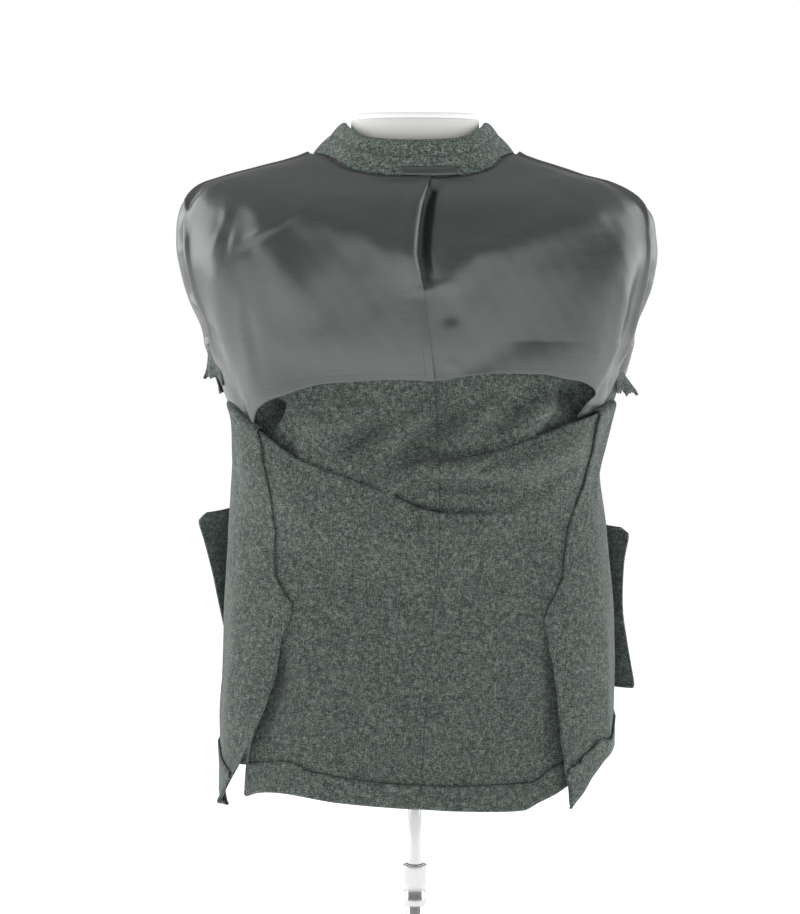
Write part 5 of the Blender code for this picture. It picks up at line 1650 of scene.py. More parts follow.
def build_front_lining(side):
    """The satin of a front, from its hem above the pocket to the shoulder."""
    name = SIDES[side]
    block = front_block(side)
    places, _ = front_places()
    offset = front_offset(block, places, side)
    rows = slice(int(np.searchsorted(block[1][:, 0], 0.775)), None)
    columns = slice(0, int(np.searchsorted(places, FACING_PLACE)) + 1)
    (s, q), off = part_of(block, offset, rows, columns)
    place = places[columns][None]
    lining = trimmed((s, q), right=EDGE_GAP * 3, top=EDGE_GAP * 2)
    flank = smooth((1.06 - place) / 0.06) * smooth((0.850 - q) / 0.03)
    puff = 0.0030 * np.sin(np.pi * np.clip((place - 0.9) / 0.8, 0, 1))
    lip = 0.0020 * np.exp(-((place - 0.10) / 0.12) ** 2)
    inner = LINING_OFF - 0.0044 + flank * LINING_SIDE_OFF + puff + lip
    top = smooth((s.shape[0] - 3 - np.arange(s.shape[0]))[:, None] / 12.0)
    hem = smooth(np.arange(s.shape[0])[:, None] / 6.0)
    off = off + SEWN_OFF + (inner - SEWN_OFF) * top + 0.0016 * (1 - hem)
    points, normals = satin_layer(lining, off)
    stitches("stitches_front_lining_" + name, points[5, 2:-2] + normals[5, 2:-2] * SATIN / 2,
             normals[5, 2:-2])
    points, normals = with_lip(points, normals, lining[1][:, 0], side)
    cloth("satin_front_lining_" + name, "front_lining_" + name, points, normals,
          cloth_settings().satin, satin_finish())


def with_lip(points, normals, height, side):
    """A front lining with the lip that rolls over the edge of the armhole."""
    size = curve(LIP_SIZE[side], "size", height) * (1 + 0.05 * np.sin(height * 160.0))
    lip = [points[:, 0] + size[:, None] * (side * out, -back, 0.0) for back, out in LIP]
    whole = np.concatenate([np.stack(lip, axis=1), points], axis=1)
    like = np.concatenate([np.repeat(normals[:, :1], len(LIP), axis=1), normals], axis=1)
    return whole, grid_normals(whole, like)


def lining_grid(side):
    """Angles, heights, column shares and each row's height at the pleat, of half of the back lining.
    """
    table = LINING_HEM[side]
    share = np.linspace(0, 1, spaced(0.250, 0.0030))[None]
    hem_q = curve(table, "z", share)
    hem_s = angle_at_x(curve(table, "x", share), hem_q)
    middle = np.linspace(UNDERARM_Z, 0.9977, spaced(0.175, 0.0032))[:, None]
    outer = curve(BACK_TOP_ROWS, "outer", middle)
    left_edge = curve(PLEAT, "x", middle)
    start = angle_at_x(left_edge - (PLEAT_UNDER if side > 0 else 0.0), middle)
    end = armhole_angle(outer, side, False)
    top_s = start + (end - start) * share
    seam = line_at_x("centre")(middle)
    lift = neck_lift(np.clip((top_s - seam) / (end - seam), 0, 1))
    top_q = middle + (outer - middle) * lift
    down = np.linspace(0, 1, 26, endpoint=False)[:, None]
    pleat_q = hem_q[:, :1] + (UNDERARM_Z - hem_q[:, :1]) * down
    pleat = angle_at_x(curve(PLEAT, "x", pleat_q) - (PLEAT_UNDER if side > 0 else 0.0), pleat_q)
    low_s = hem_s + (top_s[:1] - hem_s) * down
    low_s = low_s + (pleat - low_s[:, :1]) * np.clip(1 - share * 4, 0, 1) ** 2
    low_q = hem_q + (top_q[:1] - hem_q) * down
    s = np.concatenate([low_s, top_s])
    q = np.concatenate([low_q, top_q])
    height = np.concatenate([pleat_q + 0.0 * down, middle])
    return s, q, share, height


def build_back_lining(side):
    """Half of the back lining yoke; the left half lies over the right at the centre pleat."""
    name = SIDES[side]
    s, q, share, height = lining_grid(side)
    x, _ = ring_point(s, q)
    top = smooth((0.9977 - height) / 0.030)
    shoulder = 1 - 0.40 * smooth((share - 0.75) / 0.20)
    offset = SEWN_OFF + (LINING_OFF - SEWN_OFF) * top * shoulder
    offset = offset + 0.0036 * np.sin(np.pi * np.clip((share - 0.1) / 0.8, 0, 1)) * top
    flare = 0.045 + 0.050 * smooth((share - 0.15) / 0.20) * (1 - smooth((share - 0.80) / 0.08))
    near_hem = 1 - smooth((q - q[:1]) / (flare if side > 0 else 0.045))
    offset = offset + (curve(LINING_HEM[side], "off", share) - offset) * near_hem
    flank = smooth((share - 0.84) / 0.08) * smooth((0.855 - q) / 0.03) * (1 - near_hem)
    offset = np.maximum(offset, (SEWN_OFF + LINING_SIDE_OFF) * flank)
    ridge, edge = (0.0022, 0.0030) if side < 0 else (0.0030, 0.0012)
    offset = offset + ridge * np.exp(-((share - 0.962) / 0.022) ** 2) * smooth((q - 0.80) / 0.02)
    offset = offset - edge * smooth((share - 0.970) / 0.030)
    beyond = x - curve(PLEAT, "x", height)
    if side < 0:
        roll = curve(PLEAT, "lift", height) * np.exp(-((beyond + 0.004) / 0.016) ** 2)
        tuck = 0.0022 * smooth((beyond + 0.0022) / 0.0022)
        offset = offset + 0.0014 * smooth((beyond + 0.05) / 0.02) + roll - tuck * roll / 0.006
    else:
        offset = offset - 0.0012 * np.exp(-((beyond - 0.001) / 0.010) ** 2)
        offset = offset - curve(PLEAT, "dip", height) * np.exp(-((beyond - 0.003) / 0.0065) ** 2)
    block = trimmed((s, q), right=EDGE_GAP, top=ROUND_EDGE)
    points, normals = satin_layer(block, offset)
    cloth("satin_back_lining_" + name, "back_lining_" + name, points, normals,
          cloth_settings().satin, satin_finish())
    row = 4
    skip = 7 if side > 0 else 1
    line, up = points[row, skip:-3], normals[row, skip:-3]
    stitches("stitches_back_lining_" + name, line + up * SATIN / 2, up, length=0.0022,
             radius=0.00012)
    if side < 0:
        rows = range(2, 26)
        at = [np.interp(PLEAT_STITCH, -(points[r, :40, 0] - points[r, 0, 0]), np.arange(40.0))
              for r in rows]
        line, up = (np.stack([[np.interp(a, np.arange(40.0), grid[r, :40, k]) for k in range(3)]
                              for a, r in zip(at, rows)]) for grid in (points, normals))
        stitches("stitches_pleat", line + up * SATIN / 2, up, length=0.0022)


def sleeve_rings(side, rows, count):
    """Rings of a sleeve, hanging from its armhole down between the form and the coat."""
    theta = np.arange(count)[None] * 2 * np.pi / count
    knots = np.arange(len(SLEEVE["rows"]), dtype=float)
    table = {"columns": ("row",) + SLEEVE["columns"],
             "rows": [(k, *row) for k, row in zip(knots, SLEEVE["rows"])]}
    outer_z, outer_in, inner_z, inner_in, mid_y, half_y = (
        curve(table, name, rows)[:, None] for name in SLEEVE["columns"])
    z = (outer_z + inner_z) / 2 + (outer_z - inner_z) / 2 * np.cos(theta)
    inset = (outer_in + inner_in) / 2 + (outer_in - inner_in) / 2 * np.cos(theta)
    y = mid_y + half_y * np.sin(theta)
    wall_x, _ = ring_point(angle_at_y(y, z, side), z)
    return np.stack([wall_x - side * inset, y, z], axis=-1)


def build_sleeve(side):
    """A wool sleeve, and the part of its lining seen in the armhole."""
    name = SIDES[side]
    rows = np.concatenate([np.linspace(0, 5, 46, endpoint=False), np.linspace(5, 9, 84)])
    rings = sleeve_rings(side, rows, 72)
    centre = rings.mean(axis=1, keepdims=True)
    normals = grid_normals(rings, rings - centre, closed=True)
    theta = np.arange(72)[None] * 2 * np.pi / 72
    wave = 0.5 - 0.5 * np.cos(theta)
    tucks = 0.0016 * np.sin(rows[:, None] * 7.3 + 1.6 * np.sin(theta)) * smooth(rows[:, None] - 1)
    rings = rings - normals * (np.abs(tucks) * wave)[..., None]
    normals = grid_normals(rings, rings - centre, closed=True)
    wool = cloth_settings().wool
    cloth("wool_sleeve_" + name, "sleeve_" + name, rings, normals, wool, flannel(),
          closed=True)
    part = slice(0, 34)
    inside = rings[part] - normals[part] * (wool / 2 + GAP + SATIN / 2)
    cloth("satin_sleeve_lining_" + name, "sleeve_lining_" + name, inside, normals[part],
          cloth_settings().satin, satin_finish(), closed=True)


def neck_edge(side, t):
    """Points of the neck seam: t runs from 0 at the centre back over 1 at the shoulder."""
    high = curve(NECK, "z", 0.5)
    share = np.clip(t, 0, 1)
    start = line_at_x("centre")(np.full(t.shape, 0.9977))
    back_s = start + (side * 0.5 - start) * share
    inner = np.interp(t, (1.0, 1.2, 1.4, 1.6), (high, 1.017, 1.006, 0.978))
    s = np.where(t <= 1.0, back_s, front_edge_angle(inner, side))
    q = np.where(t <= 1.0, curve(NECK, "z", 0.5 * share), inner)
    return surface(s, q)


def collar_lines():
    """The neck seam and the collar's top fold, from the left front end to the right."""
    t = np.linspace(0, 1.6, 64)
    foot, top = [], []
    for side in (-1, 1):
        edge = neck_edge(side, t)
        fold = np.stack([side * curve(COLLAR, "x", t), curve(COLLAR, "y", t),
                         curve(COLLAR, "z", t)], axis=-1)
        foot.append(edge if side > 0 else edge[::-1])
        top.append(fold if side > 0 else fold[::-1])
    foot = np.concatenate([foot[0][:-1], foot[1]])
    top = np.concatenate([top[0][:-1], top[1]])
    kernel = np.array((1, 2, 3, 2, 1)) / 9.0
    padded = np.pad(foot, ((2, 2), (0, 0)), mode="edge")
    foot[2:-2] = sum(k * padded[i:i + len(foot)] for i, k in enumerate(kernel))[2:-2]
    return foot, top


def build_collar():
    """The collar stand, and the collar rolled over its top and down inside."""
    foot, top = collar_lines()
    foot = foot + unit(top - foot) * 0.0014
    wool = cloth_settings().wool
    shares = np.linspace(0, COLLAR_SEAM, 12)
    stand = np.array([foot + (top - foot) * v for v in shares])
    bow = 0.0010 * np.sin(np.pi * shares / COLLAR_SEAM)
    normals = grid_normals(stand, stand * (1, 1, 0))
    stand = stand + normals * bow[:, None, None]
    cloth("wool_collar_stand", "collar_stand", stand, normals, wool, collar_flannel())
    out = normals[-1]
    path = np.array(COLLAR_SECTION)
    run = np.arange(len(path), dtype=float)
    table = {"columns": ("i", "v", "inside"), "rows": [(i, *row) for i, row in zip(run, path)]}
    fine = np.linspace(0, run[-1], 46)
    section_v, inside = curve(table, "v", fine), curve(table, "inside", fine)
    band = np.array([foot + (top - foot) * v - out * i for v, i in zip(section_v, inside)])
    band_normals = grid_normals(band, np.broadcast_to(out, band.shape))
    if np.sum(band_normals[0] * out) < 0:
        band_normals = -band_normals
    cloth("wool_collar", "collar", band, band_normals, wool, collar_flannel())
    seam = stand[-2] + normals[-2] * wool / 2
    stitches("stitches_collar", seam[6:-6], normals[-2][6:-6], length=0.0030, gap=0.0014)
    build_hanger_loop(foot, top, normals[0])


def build_hanger_loop(foot, top, out):
    """The satin loop sewn flat along the foot of the collar stand at the centre back."""
    behind = foot[:, 1] < 0
    order = np.argsort(foot[behind][:, 0])
    x = foot[behind][order, 0]
    places = np.linspace(*LOOP_ENDS, 50)

    def along(values):
        chosen = values[behind][order]
        return np.stack([np.interp(places, x, chosen[:, k]) for k in range(3)], axis=-1)

    low, high, away = along(foot), along(top), along(out)
    lift = (cloth_settings().wool + SATIN) / 2 + GAP + 0.0008
    bulge = 0.0004 * np.sin(np.pi * np.linspace(0, 1, 50)) ** 0.5
    rows = []
    for v, proud in ((0.00, -0.0008), (0.03, 0.0), (0.09, 0.0004), (0.15, 0.0004), (0.21, 0.0),
                     (0.24, -0.0008)):
        rows.append(low + (high - low) * v + away * (lift + proud + bulge)[:, None])
    strip = np.array(rows)
    cloth("satin_hanger_loop", "hanger_loop", strip, grid_normals(strip, away[None]),
          SATIN * 2, satin_finish())
    for number, place in enumerate((1, -2), start=1):
        path = strip[:, place] + away[place] * 0.0008
        stitches(f"stitches_loop_{number}", path, np.repeat(away[place:place + 1], 6, axis=0)
                 if place > 0 else np.repeat(away[-2:-1], 6, axis=0), length=0.0014, gap=0.0006)


def build_pocket(side):
    """A pocket bag hanging against the front, its outer end standing clear of the side."""
    name = SIDES[side]
    rows = POCKETS[side]["rows"]
    table = {"columns": ("row",) + POCKETS[side]["columns"],
             "rows": [(float(k), *row) for k, row in enumerate(rows)]}
    fine = np.concatenate([np.linspace(0, 2, 10, endpoint=False),
                           np.linspace(2, len(rows) - 3, 40, endpoint=False),
                           np.linspace(len(rows) - 3, len(rows) - 1, 10)])
    inner_z, outer_z, outer_x = (curve(table, key, fine)[:, None]
                                 for key in ("inner_z", "outer_z", "outer_x"))
    share = np.linspace(0, 1, 44)[None]
    z = inner_z * (1 - share) + outer_z * share
    place = np.interp(share, (0, 1 / 3, 2 / 3, 1), (0.45, 0.28, 0.14, 0.08))
    start = line_at_y(FRONT_SEAM_Y, side)(z)
    s = start + (front_edge_line(side)(z) - start) * place
    out = cloth_settings().wool / 2 + POCKET_THICKNESS / 2 + 0.001
    seated = surface(s, z) + surface_normals(s, z) * (out + wool_rise(s, z))[..., None]
    free = np.stack([side * outer_x + 0.0 * z, np.full(z.shape, POCKET_FREE_Y),
                     outer_z + 0.0 * z], axis=-1)
    t = smooth((share - 0.45) / 0.55)[..., None]
    turn = seated[:, -1:] + (free[:, -1:] - seated[:, -1:]) * 1.0
    points = seated * (1 - t) + turn * t
    height = (fine / fine[-1])[:, None]
    wave = 0.0022 * np.sin(height * 9.0 + 0.6 * side) * smooth((share - 0.4) / 0.5)
    points[..., 1] += wave
    normals = grid_normals(points, seated * (1, 1, 0))
    cloth("wool_pocket_bag_" + name, "pocket_bag_" + name, points, normals, POCKET_THICKNESS,
          pocket_flannel_painted_light())
    loop = np.concatenate([points[3, 2:-3], points[3:-3, -4], points[-4, -4:2:-1]])
    up = np.concatenate([normals[3, 2:-3], normals[3:-3, -4], normals[-4, -4:2:-1]])
    for face in (1, -1):
        stitches(f"stitches_pocket_{name}_{'out' if face > 0 else 'in'}",
                 loop + up * face * POCKET_THICKNESS / 2, up * face, length=0.0024, gap=0.0014)


def build_buttons():
    """The two front buttons, each with its rim, four holes and thread."""
    low, high = (np.array(corner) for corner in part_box("button_1"))
    radius, thickness = float(high[0] - low[0]) / 2, float(high[1] - low[1])
    profile = [(0.05, -0.45), (0.75, -0.5), (0.92, -0.38), (1.0, -0.1), (0.99, 0.2), (0.92, 0.46),
               (0.80, 0.5), (0.70, 0.34), (0.55, 0.18), (0.05, 0.14)]
    for number in (1, 2):
        low, high = (np.array(corner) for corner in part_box(f"button_{number}"))
        centre = (low + high) / 2
        rings = []
        for r, along in profile:
            turn = np.arange(64) * 2 * np.pi / 64
            rings.append(np.stack([centre[0] + radius * r * np.cos(turn),
                                   np.full(64, centre[1] - thickness * along),
                                   centre[2] + radius * r * np.sin(turn)], axis=-1))
        button = loft(f"horn_button_{number}", rings, made_once("clouded_horn", make_horn))
        cutters = []
        for k in range(4):
            turn = math.pi / 4 + k * math.pi / 2
            bpy.ops.mesh.primitive_cylinder_add(
                radius=0.0010, depth=0.02, vertices=20, rotation=(math.pi / 2, 0, 0),
                location=(centre[0] + 0.0026 * math.cos(turn), centre[1],
                          centre[2] + 0.0026 * math.sin(turn)))
            cutters.append(bpy.context.object)
        for cutter in cutters:
            cut = button.modifiers.new("hole", "BOOLEAN")
            cut.operation = "DIFFERENCE"
            cut.solver = "EXACT"
            cut.object = cutter
        apply_modifiers(button)
        for cutter in cutters:
            bpy.data.objects.remove(cutter, do_unlink=True)
        button.data.set_sharp_from_angle(angle=math.radians(40))
        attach(button, COAT_BODY)
        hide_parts(f"button_{number}")
        parts = []
        for slant in (-1, 1):
            for lane in (-0.00035, 0.00035):
                t = np.linspace(-1, 1, 9)
                arch = 0.0006 * (1 - t ** 2) - thickness * 0.4 * (np.abs(t) > 0.99)
                x = centre[0] + 0.0026 * 0.7071 * t + lane
                z = centre[2] + 0.0026 * 0.7071 * t * slant - lane * slant
                y = centre[1] - thickness * 0.16 - 0.0004 - arch
                parts.append(tube(np.stack([x, y, z], axis=-1), 0.0003, 6))
        knot = add_mesh(f"button_thread_{number}", *joined(parts), thread())
        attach(knot, COAT_BODY)


def apply_modifiers(piece):
    """Make the piece's evaluated shape its own mesh."""
    graph = bpy.context.evaluated_depsgraph_get()
    made = bpy.data.meshes.new_from_object(piece.evaluated_get(graph))
    piece.modifiers.clear()
    piece.data = made


# ---- The form and its stand --------------------------------------------------------------------


def hard_piece(piece, node, body):
    """A hard piece in place of its solid."""
    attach(piece, body)
    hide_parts(node)
    return piece


def form_ring(z, count, inset=0.0):
    """A horizontal section of the form."""
    half, back, front = (float(curve(FORM, key, z)) for key in ("half", "back", "front"))
    turn = np.arange(count) * 2 * np.pi / count
    power = 2 / 2.2
    sine, cosine = np.sin(turn), np.cos(turn)
    reach = (front - back) / 2 - inset
    x = (half - inset) * np.sign(sine) * np.abs(sine) ** power
    y = (front + back) / 2 - reach * np.sign(cosine) * np.abs(cosine) ** power
    return np.stack([x, y, np.full(count, z)], axis=-1)


def build_form():
    """The limbless torso, its seams and the cap on its neck."""
    count = 144
    low, high = FORM["rows"][0][0], FORM["rows"][-1][0]
    heights = np.concatenate([np.linspace(low, 0.97, 90, endpoint=False),
                              np.linspace(0.97, high, 60)])
    rings = [form_ring(low, count, inset) for inset in (0.020, 0.004, 0.0015)]
    rings += [form_ring(z, count) for z in heights[1:]]
    torso = loft("form_body", rings, made_once("form_jersey", make_jersey))
    hard_piece(torso, "form_torso", COAT_BODY)
    for number, place in enumerate((0, 36, 72, 108), start=1):
        path = np.array([ring[place] for ring in rings[4:-1:2]])
        away = unit(path * (1, 1, 0) + 1e-9)
        seam = add_mesh(f"form_seam_{number}", *tube(path + away * 0.0001, 0.0006, 8),
                        made_once("form_jersey", make_jersey))
        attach(seam, COAT_BODY)
    bottom, top = (float(corner[2]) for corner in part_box("neck_cap"))
    edge = form_ring(high, count)
    cap = []
    for share, scale in ((0.0, 0.975), (0.10, 0.985), (0.55, 0.985), (0.75, 0.975), (0.90, 0.955),
                         (1.0, 0.92), (1.0, 0.70), (0.94, 0.66), (0.94, 0.10)):
        ring = edge * (scale, scale, 1.0)
        ring[:, 1] += (1 - scale) * 0.0025
        ring[:, 2] = bottom + (top - bottom) * share
        cap.append(ring)
    hard_piece(loft("neck_plate", cap, made_once("moulded_cap", make_cap)), "neck_cap",
               COAT_BODY)


def build_stand():
    """Base, socket, outer tube, clamp and its screw, mast and flange."""
    chrome = made_once("plated_chrome", make_chrome)
    base_low, base_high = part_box("base_plate")
    radius, thick = base_high[0], base_high[2]
    turn = np.arange(128) * 2 * np.pi / 128
    rim = [(radius - 0.0020, 0.0), (radius - 0.0006, 0.0005), (radius, 0.0018),
           (radius, thick - 0.0034), (radius - 0.0008, thick - 0.0018),
           (radius - 0.0030, thick - 0.0006), (radius - 0.010, thick)]
    plate = loft("base_disc", [np.stack([r * np.cos(turn), r * np.sin(turn), np.full(128, z)],
                                        axis=-1) for r, z in rim],
                 made_once("brushed_steel", make_base_steel))
    plate.data.set_sharp_from_angle(angle=math.radians(40))
    hard_piece(plate, "base_plate", STAND_BODY)
    low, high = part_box("base_socket")
    bore, foot, top = 0.0098, low[2], high[2]
    profile = [(bore, foot), (0.0320, foot), (0.0320, foot + 0.0016), (0.0312, foot + 0.0024),
               (0.0240, foot + 0.0046), (0.0190, foot + 0.0078), (0.0165, foot + 0.0130),
               (0.0152, top - 0.0012), (0.0144, top), (bore + 0.0004, top), (bore, top - 0.0004)]
    hard_piece(lathe("socket_ring", profile, chrome), "base_socket", STAND_BODY)
    for node, name, body in (("outer_tube", "tube_lower", STAND_BODY),
                             ("mast", "tube_upper", COAT_BODY)):
        low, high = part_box(node)
        outside = high[0]
        wall = 0.0015
        profile = [(outside - wall, low[2]), (outside - 0.0004, low[2]),
                   (outside, low[2] + 0.0004), (outside, high[2] - 0.0004),
                   (outside - 0.0004, high[2]), (outside - wall, high[2])]
        hard_piece(lathe(name, profile, chrome, 72), node, body)
    low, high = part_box("clamp_collar")
    outside, foot, top = high[0], low[2], high[2]
    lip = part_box("outer_tube")[1][2] + 0.0003
    profile = [(bore, foot), (outside - 0.0010, foot), (outside - 0.0003, foot + 0.0003),
               (outside, foot + 0.0010), (outside, foot + 0.0100), (outside - 0.0006, foot + 0.0106),
               (outside - 0.0006, top - 0.0106), (outside, top - 0.0100), (outside, top - 0.0010),
               (outside - 0.0003, top - 0.0003), (outside - 0.0010, top), (0.0088, top),
               (0.0082, top - 0.0008), (0.0082, lip), (bore, lip)]
    hard_piece(lathe("clamp_ring", profile, chrome), "clamp_collar", STAND_BODY)
    build_clamp_screw(chrome)
    low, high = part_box("form_flange")
    foot, top = low[2], high[2]
    profile = [(0.0081, foot), (0.0116, foot), (0.0122, foot + 0.0006), (0.0134, top - 0.0080),
               (0.0160, top - 0.0050), (0.0220, top - 0.0040), (0.0396, top - 0.0036),
               (0.0400, top - 0.0030), (0.0400, top), (0.0081, top)]
    hard_piece(lathe("flange_ring", profile, chrome), "form_flange", COAT_BODY)


def build_clamp_screw(chrome):
    """The thumb screw at the front of the clamp, its head fluted for the fingers."""
    low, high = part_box("clamp_screw")
    start, end, z = low[1], high[1], (low[2] + high[2]) / 2
    count = 96
    turn = np.arange(count) * 2 * np.pi / count
    flute = np.cos(turn * 12)
    rings = []
    for along, radius, depth in ((0.0, 0.0026, 0.0), (0.02, 0.0030, 0.0), (0.50, 0.0030, 0.0),
                                 (0.505, 0.0080, 0.0), (0.52, 0.0090, 0.0002),
                                 (0.56, 0.0096, 0.0005), (0.88, 0.0096, 0.0005),
                                 (0.95, 0.0088, 0.0003), (1.0, 0.0070, 0.0), (0.97, 0.0030, 0.0)):
        r = radius + depth * flute
        rings.append(np.stack([r * np.cos(turn), np.full(count, start + (end - start) * along),
                               z + r * np.sin(turn)], axis=-1))
    screw = loft("thumb_screw", np.array(rings)[:, ::-1], chrome)
    screw.data.set_sharp_from_angle(angle=math.radians(40))
    hard_piece(screw, "clamp_screw", STAND_BODY)


# ---- The floor, the lights and the camera ------------------------------------------------------

CAMERA_DISTANCE = 3.2
CAMERA_RISE = math.radians(4.0)      # how far the camera looks down
CAMERA_AIM = (-0.0159, 0.0, 0.705)
LENS, SENSOR = 118.905, 36.0
FLOOR_RADIUS, FLOOR_GLOW = 30.0, 0.66    # the glow stands for a studio floor lit to white
# The room's light by the sine of the height it comes from.
ROOM_TONES = ((0.0, 1.04), (0.09, 1.02), (0.20, 0.36), (0.50, 0.26), (0.80, 0.40), (1.0, 0.54))
SOFT_BOX_SIZE = (4.4, 2.7)


def build_floor():
    """A round pale floor."""
    colour = bpy.context.scene.coat_stage.floor_colour
    made, tree, shader, where = new_finish("floor_paint", colour, 0.85)
    grain = noise(tree, where, 60.0, 3.0, 0.5)
    tree.links.new(ramp(tree, grain, ((0.3, scaled(colour, 0.985)), (0.7, colour))),
                   shader.inputs["Base Color"])
    shader.inputs["Emission Color"].default_value = (1.0, 1.0, 1.0, 1.0)
    shader.inputs["Emission Strength"].default_value = FLOOR_GLOW
    turn = np.arange(96) * 2 * np.pi / 96
    ring = np.stack([FLOOR_RADIUS * np.cos(turn), FLOOR_RADIUS * np.sin(turn),
                     np.full(96, -0.0004)], axis=-1)
    floor = add_mesh("studio_floor", ring, [list(range(96))], made)


def build_world():
    """Even light from all round, a little less from overhead."""
    world = bpy.data.worlds.new("studio")
    bpy.context.scene.world = world
    world.use_nodes = True
    tree = world.node_tree
    background = tree.nodes["Background"]
    where = tree.nodes.new("ShaderNodeTexCoord").outputs["Generated"]
    apart = tree.nodes.new("ShaderNodeSeparateXYZ")
    tree.links.new(where, apart.inputs["Vector"])
    tone = ramp(tree, apart.outputs["Z"], [(place, (level, level, level))
                                           for place, level in ROOM_TONES])
    tree.links.new(tone, background.inputs["Color"])
    background.inputs["Strength"].default_value = bpy.context.scene.coat_stage.room_light


def add_soft_box(name, place, aim, size, power):
    """A square area light turned to a point."""
    data = bpy.data.lights.new(name, "AREA")
    data.shape = "RECTANGLE"
    data.size, data.size_y = size
    data.energy = power
    lamp = bpy.data.objects.new(name, data)
    lamp.location = place
    lamp.rotation_euler = (Vector(aim) - Vector(place)).to_track_quat("-Z", "Y").to_euler()
    bpy.context.scene.collection.objects.link(lamp)


def build_camera():
    """The camera behind the coat, a little above its middle."""
    data = bpy.data.cameras.new("studio_camera")
    data.lens, data.sensor_width, data.sensor_fit = LENS, SENSOR, "AUTO"
    data.clip_end = 60.0
    camera = bpy.data.objects.new("studio_camera", data)
    aim = Vector(CAMERA_AIM)
    back = Vector((0.0, -math.cos(CAMERA_RISE), math.sin(CAMERA_RISE)))
    camera.location = aim + back * CAMERA_DISTANCE
    camera.rotation_euler = (-back).to_track_quat("-Z", "Y").to_euler()
    bpy.context.scene.collection.objects.link(camera)
    bpy.context.scene.camera = camera


# ---- Operators ---------------------------------------------------------------------------------


class COAT_OT_backs(bpy.types.Operator):
    """Make both back panels with their turned-up hems"""

    bl_idname = "coat.backs"
    bl_label = "Backs"
    bl_options = {"REGISTER", "UNDO"}

    def execute(self, context):
        for side in SIDES:
            build_back(side)
        return {"FINISHED"}


class COAT_OT_side_panels(bpy.types.Operator):
    """Make both side panels, their hems and the frayed ends at the underarm"""

    bl_idname = "coat.side_panels"
    bl_label = "Side panels"
    bl_options = {"REGISTER", "UNDO"}

    def execute(self, context):
        for side in SIDES:
            build_side_panel(side)
        return {"FINISHED"}


class COAT_OT_fronts(bpy.types.Operator):
    """Make both fronts with hem, facing and turned-in lapel"""

    bl_idname = "coat.fronts"
    bl_label = "Fronts"
    bl_options = {"REGISTER", "UNDO"}

    def execute(self, context):
        for side in SIDES:
            build_front(side)
        return {"FINISHED"}


class COAT_OT_linings(bpy.types.Operator):
    """Make the satin of the back and the fronts"""

    bl_idname = "coat.linings"
    bl_label = "Linings"
    bl_options = {"REGISTER", "UNDO"}

    def execute(self, context):
        for side in SIDES:
            build_back_lining(side)
            build_front_lining(side)
        return {"FINISHED"}


class COAT_OT_sleeves(bpy.types.Operator):
    """Make both sleeves, drawn through to the inside"""

    bl_idname = "coat.sleeves"
    bl_label = "Sleeves"
    bl_options = {"REGISTER", "UNDO"}

    def execute(self, context):
        for side in SIDES:
            build_sleeve(side)
        return {"FINISHED"}


class COAT_OT_collar(bpy.types.Operator):
    """Make the collar, its stand and the hanger loop"""

    bl_idname = "coat.collar"
    bl_label = "Collar"
    bl_options = {"REGISTER", "UNDO"}

    def execute(self, context):
        build_collar()
        return {"FINISHED"}


class COAT_OT_pockets(bpy.types.Operator):
    """Make both pocket bags"""

    bl_idname = "coat.pockets"
    bl_label = "Pocket bags"
    bl_options = {"REGISTER", "UNDO"}

    def execute(self, context):
        for side in SIDES:
            build_pocket(side)
        return {"FINISHED"}


class COAT_OT_buttons(bpy.types.Operator):
    """Make the two front buttons"""

    bl_idname = "coat.buttons"
    bl_label = "Buttons"
    bl_options = {"REGISTER", "UNDO"}

    def execute(self, context):
        build_buttons()
        return {"FINISHED"}


class COAT_OT_form(bpy.types.Operator):
    """Make the limbless dress form"""

    bl_idname = "coat.form"
    bl_label = "Dress form"
    bl_options = {"REGISTER", "UNDO"}

    def execute(self, context):
        build_form()
        return {"FINISHED"}


class COAT_OT_stand(bpy.types.Operator):
    """Make the base, tubes, clamp and flange"""

    bl_idname = "coat.stand"
    bl_label = "Stand"
    bl_options = {"REGISTER", "UNDO"}

    def execute(self, context):
        build_stand()
        return {"FINISHED"}


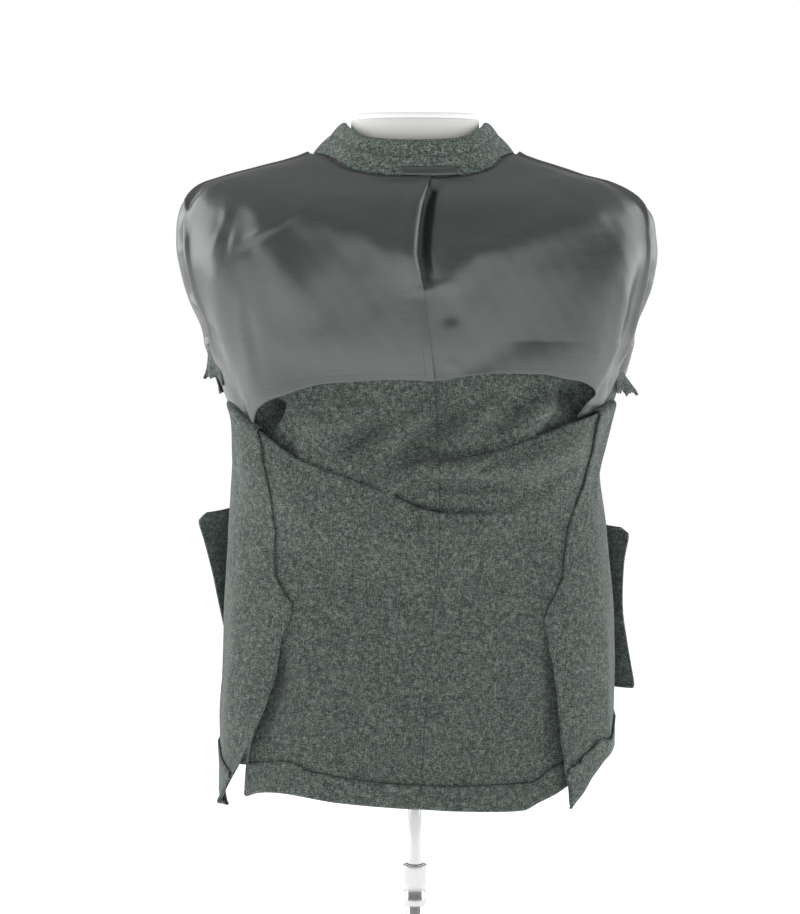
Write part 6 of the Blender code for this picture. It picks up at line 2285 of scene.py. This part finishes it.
class COAT_OT_stage(bpy.types.Operator):
    """Make the floor, the lights and the camera"""

    bl_idname = "coat.stage"
    bl_label = "Stage"
    bl_options = {"REGISTER", "UNDO"}

    def execute(self, context):
        build_floor()
        build_world()
        power = context.scene.coat_stage.side_light
        aim, size = (0.0, 0.0, 0.75), SOFT_BOX_SIZE
        add_soft_box("soft_box_left", (-3.2, 0.9, 1.8), aim, size, 78.0 * power)
        add_soft_box("soft_box_right", (3.2, 0.9, 1.8), aim, size, 56.0 * power)
        build_camera()
        context.scene.view_settings.view_transform = "Standard"
        return {"FINISHED"}


class VIEW3D_PT_coat(bpy.types.Panel):
    """The coat's pieces and settings in the sidebar"""

    bl_label = "Coat"
    bl_idname = "VIEW3D_PT_coat"
    bl_space_type = "VIEW_3D"
    bl_region_type = "UI"
    bl_category = "Coat"

    def draw(self, context):
        layout = self.layout
        for settings in (context.scene.coat_cloth, context.scene.coat_form,
                         context.scene.coat_stage):
            box = layout.box()
            for key in settings.bl_rna.properties.keys():
                if key not in ("rna_type", "name"):
                    box.prop(settings, key)
        for operator in OPERATORS:
            layout.operator(operator.bl_idname)


OPERATORS = (COAT_OT_stage, COAT_OT_stand, COAT_OT_form, COAT_OT_backs, COAT_OT_side_panels,
             COAT_OT_fronts, COAT_OT_linings, COAT_OT_sleeves, COAT_OT_collar, COAT_OT_pockets,
             COAT_OT_buttons)
SETTINGS = (CoatClothSettings, CoatFormSettings, CoatStageSettings)


def register():
    """Register the settings, the operators and the panel."""
    for group in (*SETTINGS, *OPERATORS, VIEW3D_PT_coat):
        bpy.utils.register_class(group)
    bpy.types.Scene.coat_cloth = bpy.props.PointerProperty(type=CoatClothSettings)
    bpy.types.Scene.coat_form = bpy.props.PointerProperty(type=CoatFormSettings)
    bpy.types.Scene.coat_stage = bpy.props.PointerProperty(type=CoatStageSettings)


def unregister():
    """Take them all out again."""
    del bpy.types.Scene.coat_cloth, bpy.types.Scene.coat_form, bpy.types.Scene.coat_stage
    for group in reversed((*SETTINGS, *OPERATORS, VIEW3D_PT_coat)):
        bpy.utils.unregister_class(group)


def main():
    """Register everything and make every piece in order."""
    register()
    for operator in OPERATORS:
        group, name = operator.bl_idname.split(".")
        getattr(getattr(bpy.ops, group), name)()


if __name__ == "__main__":
    main()
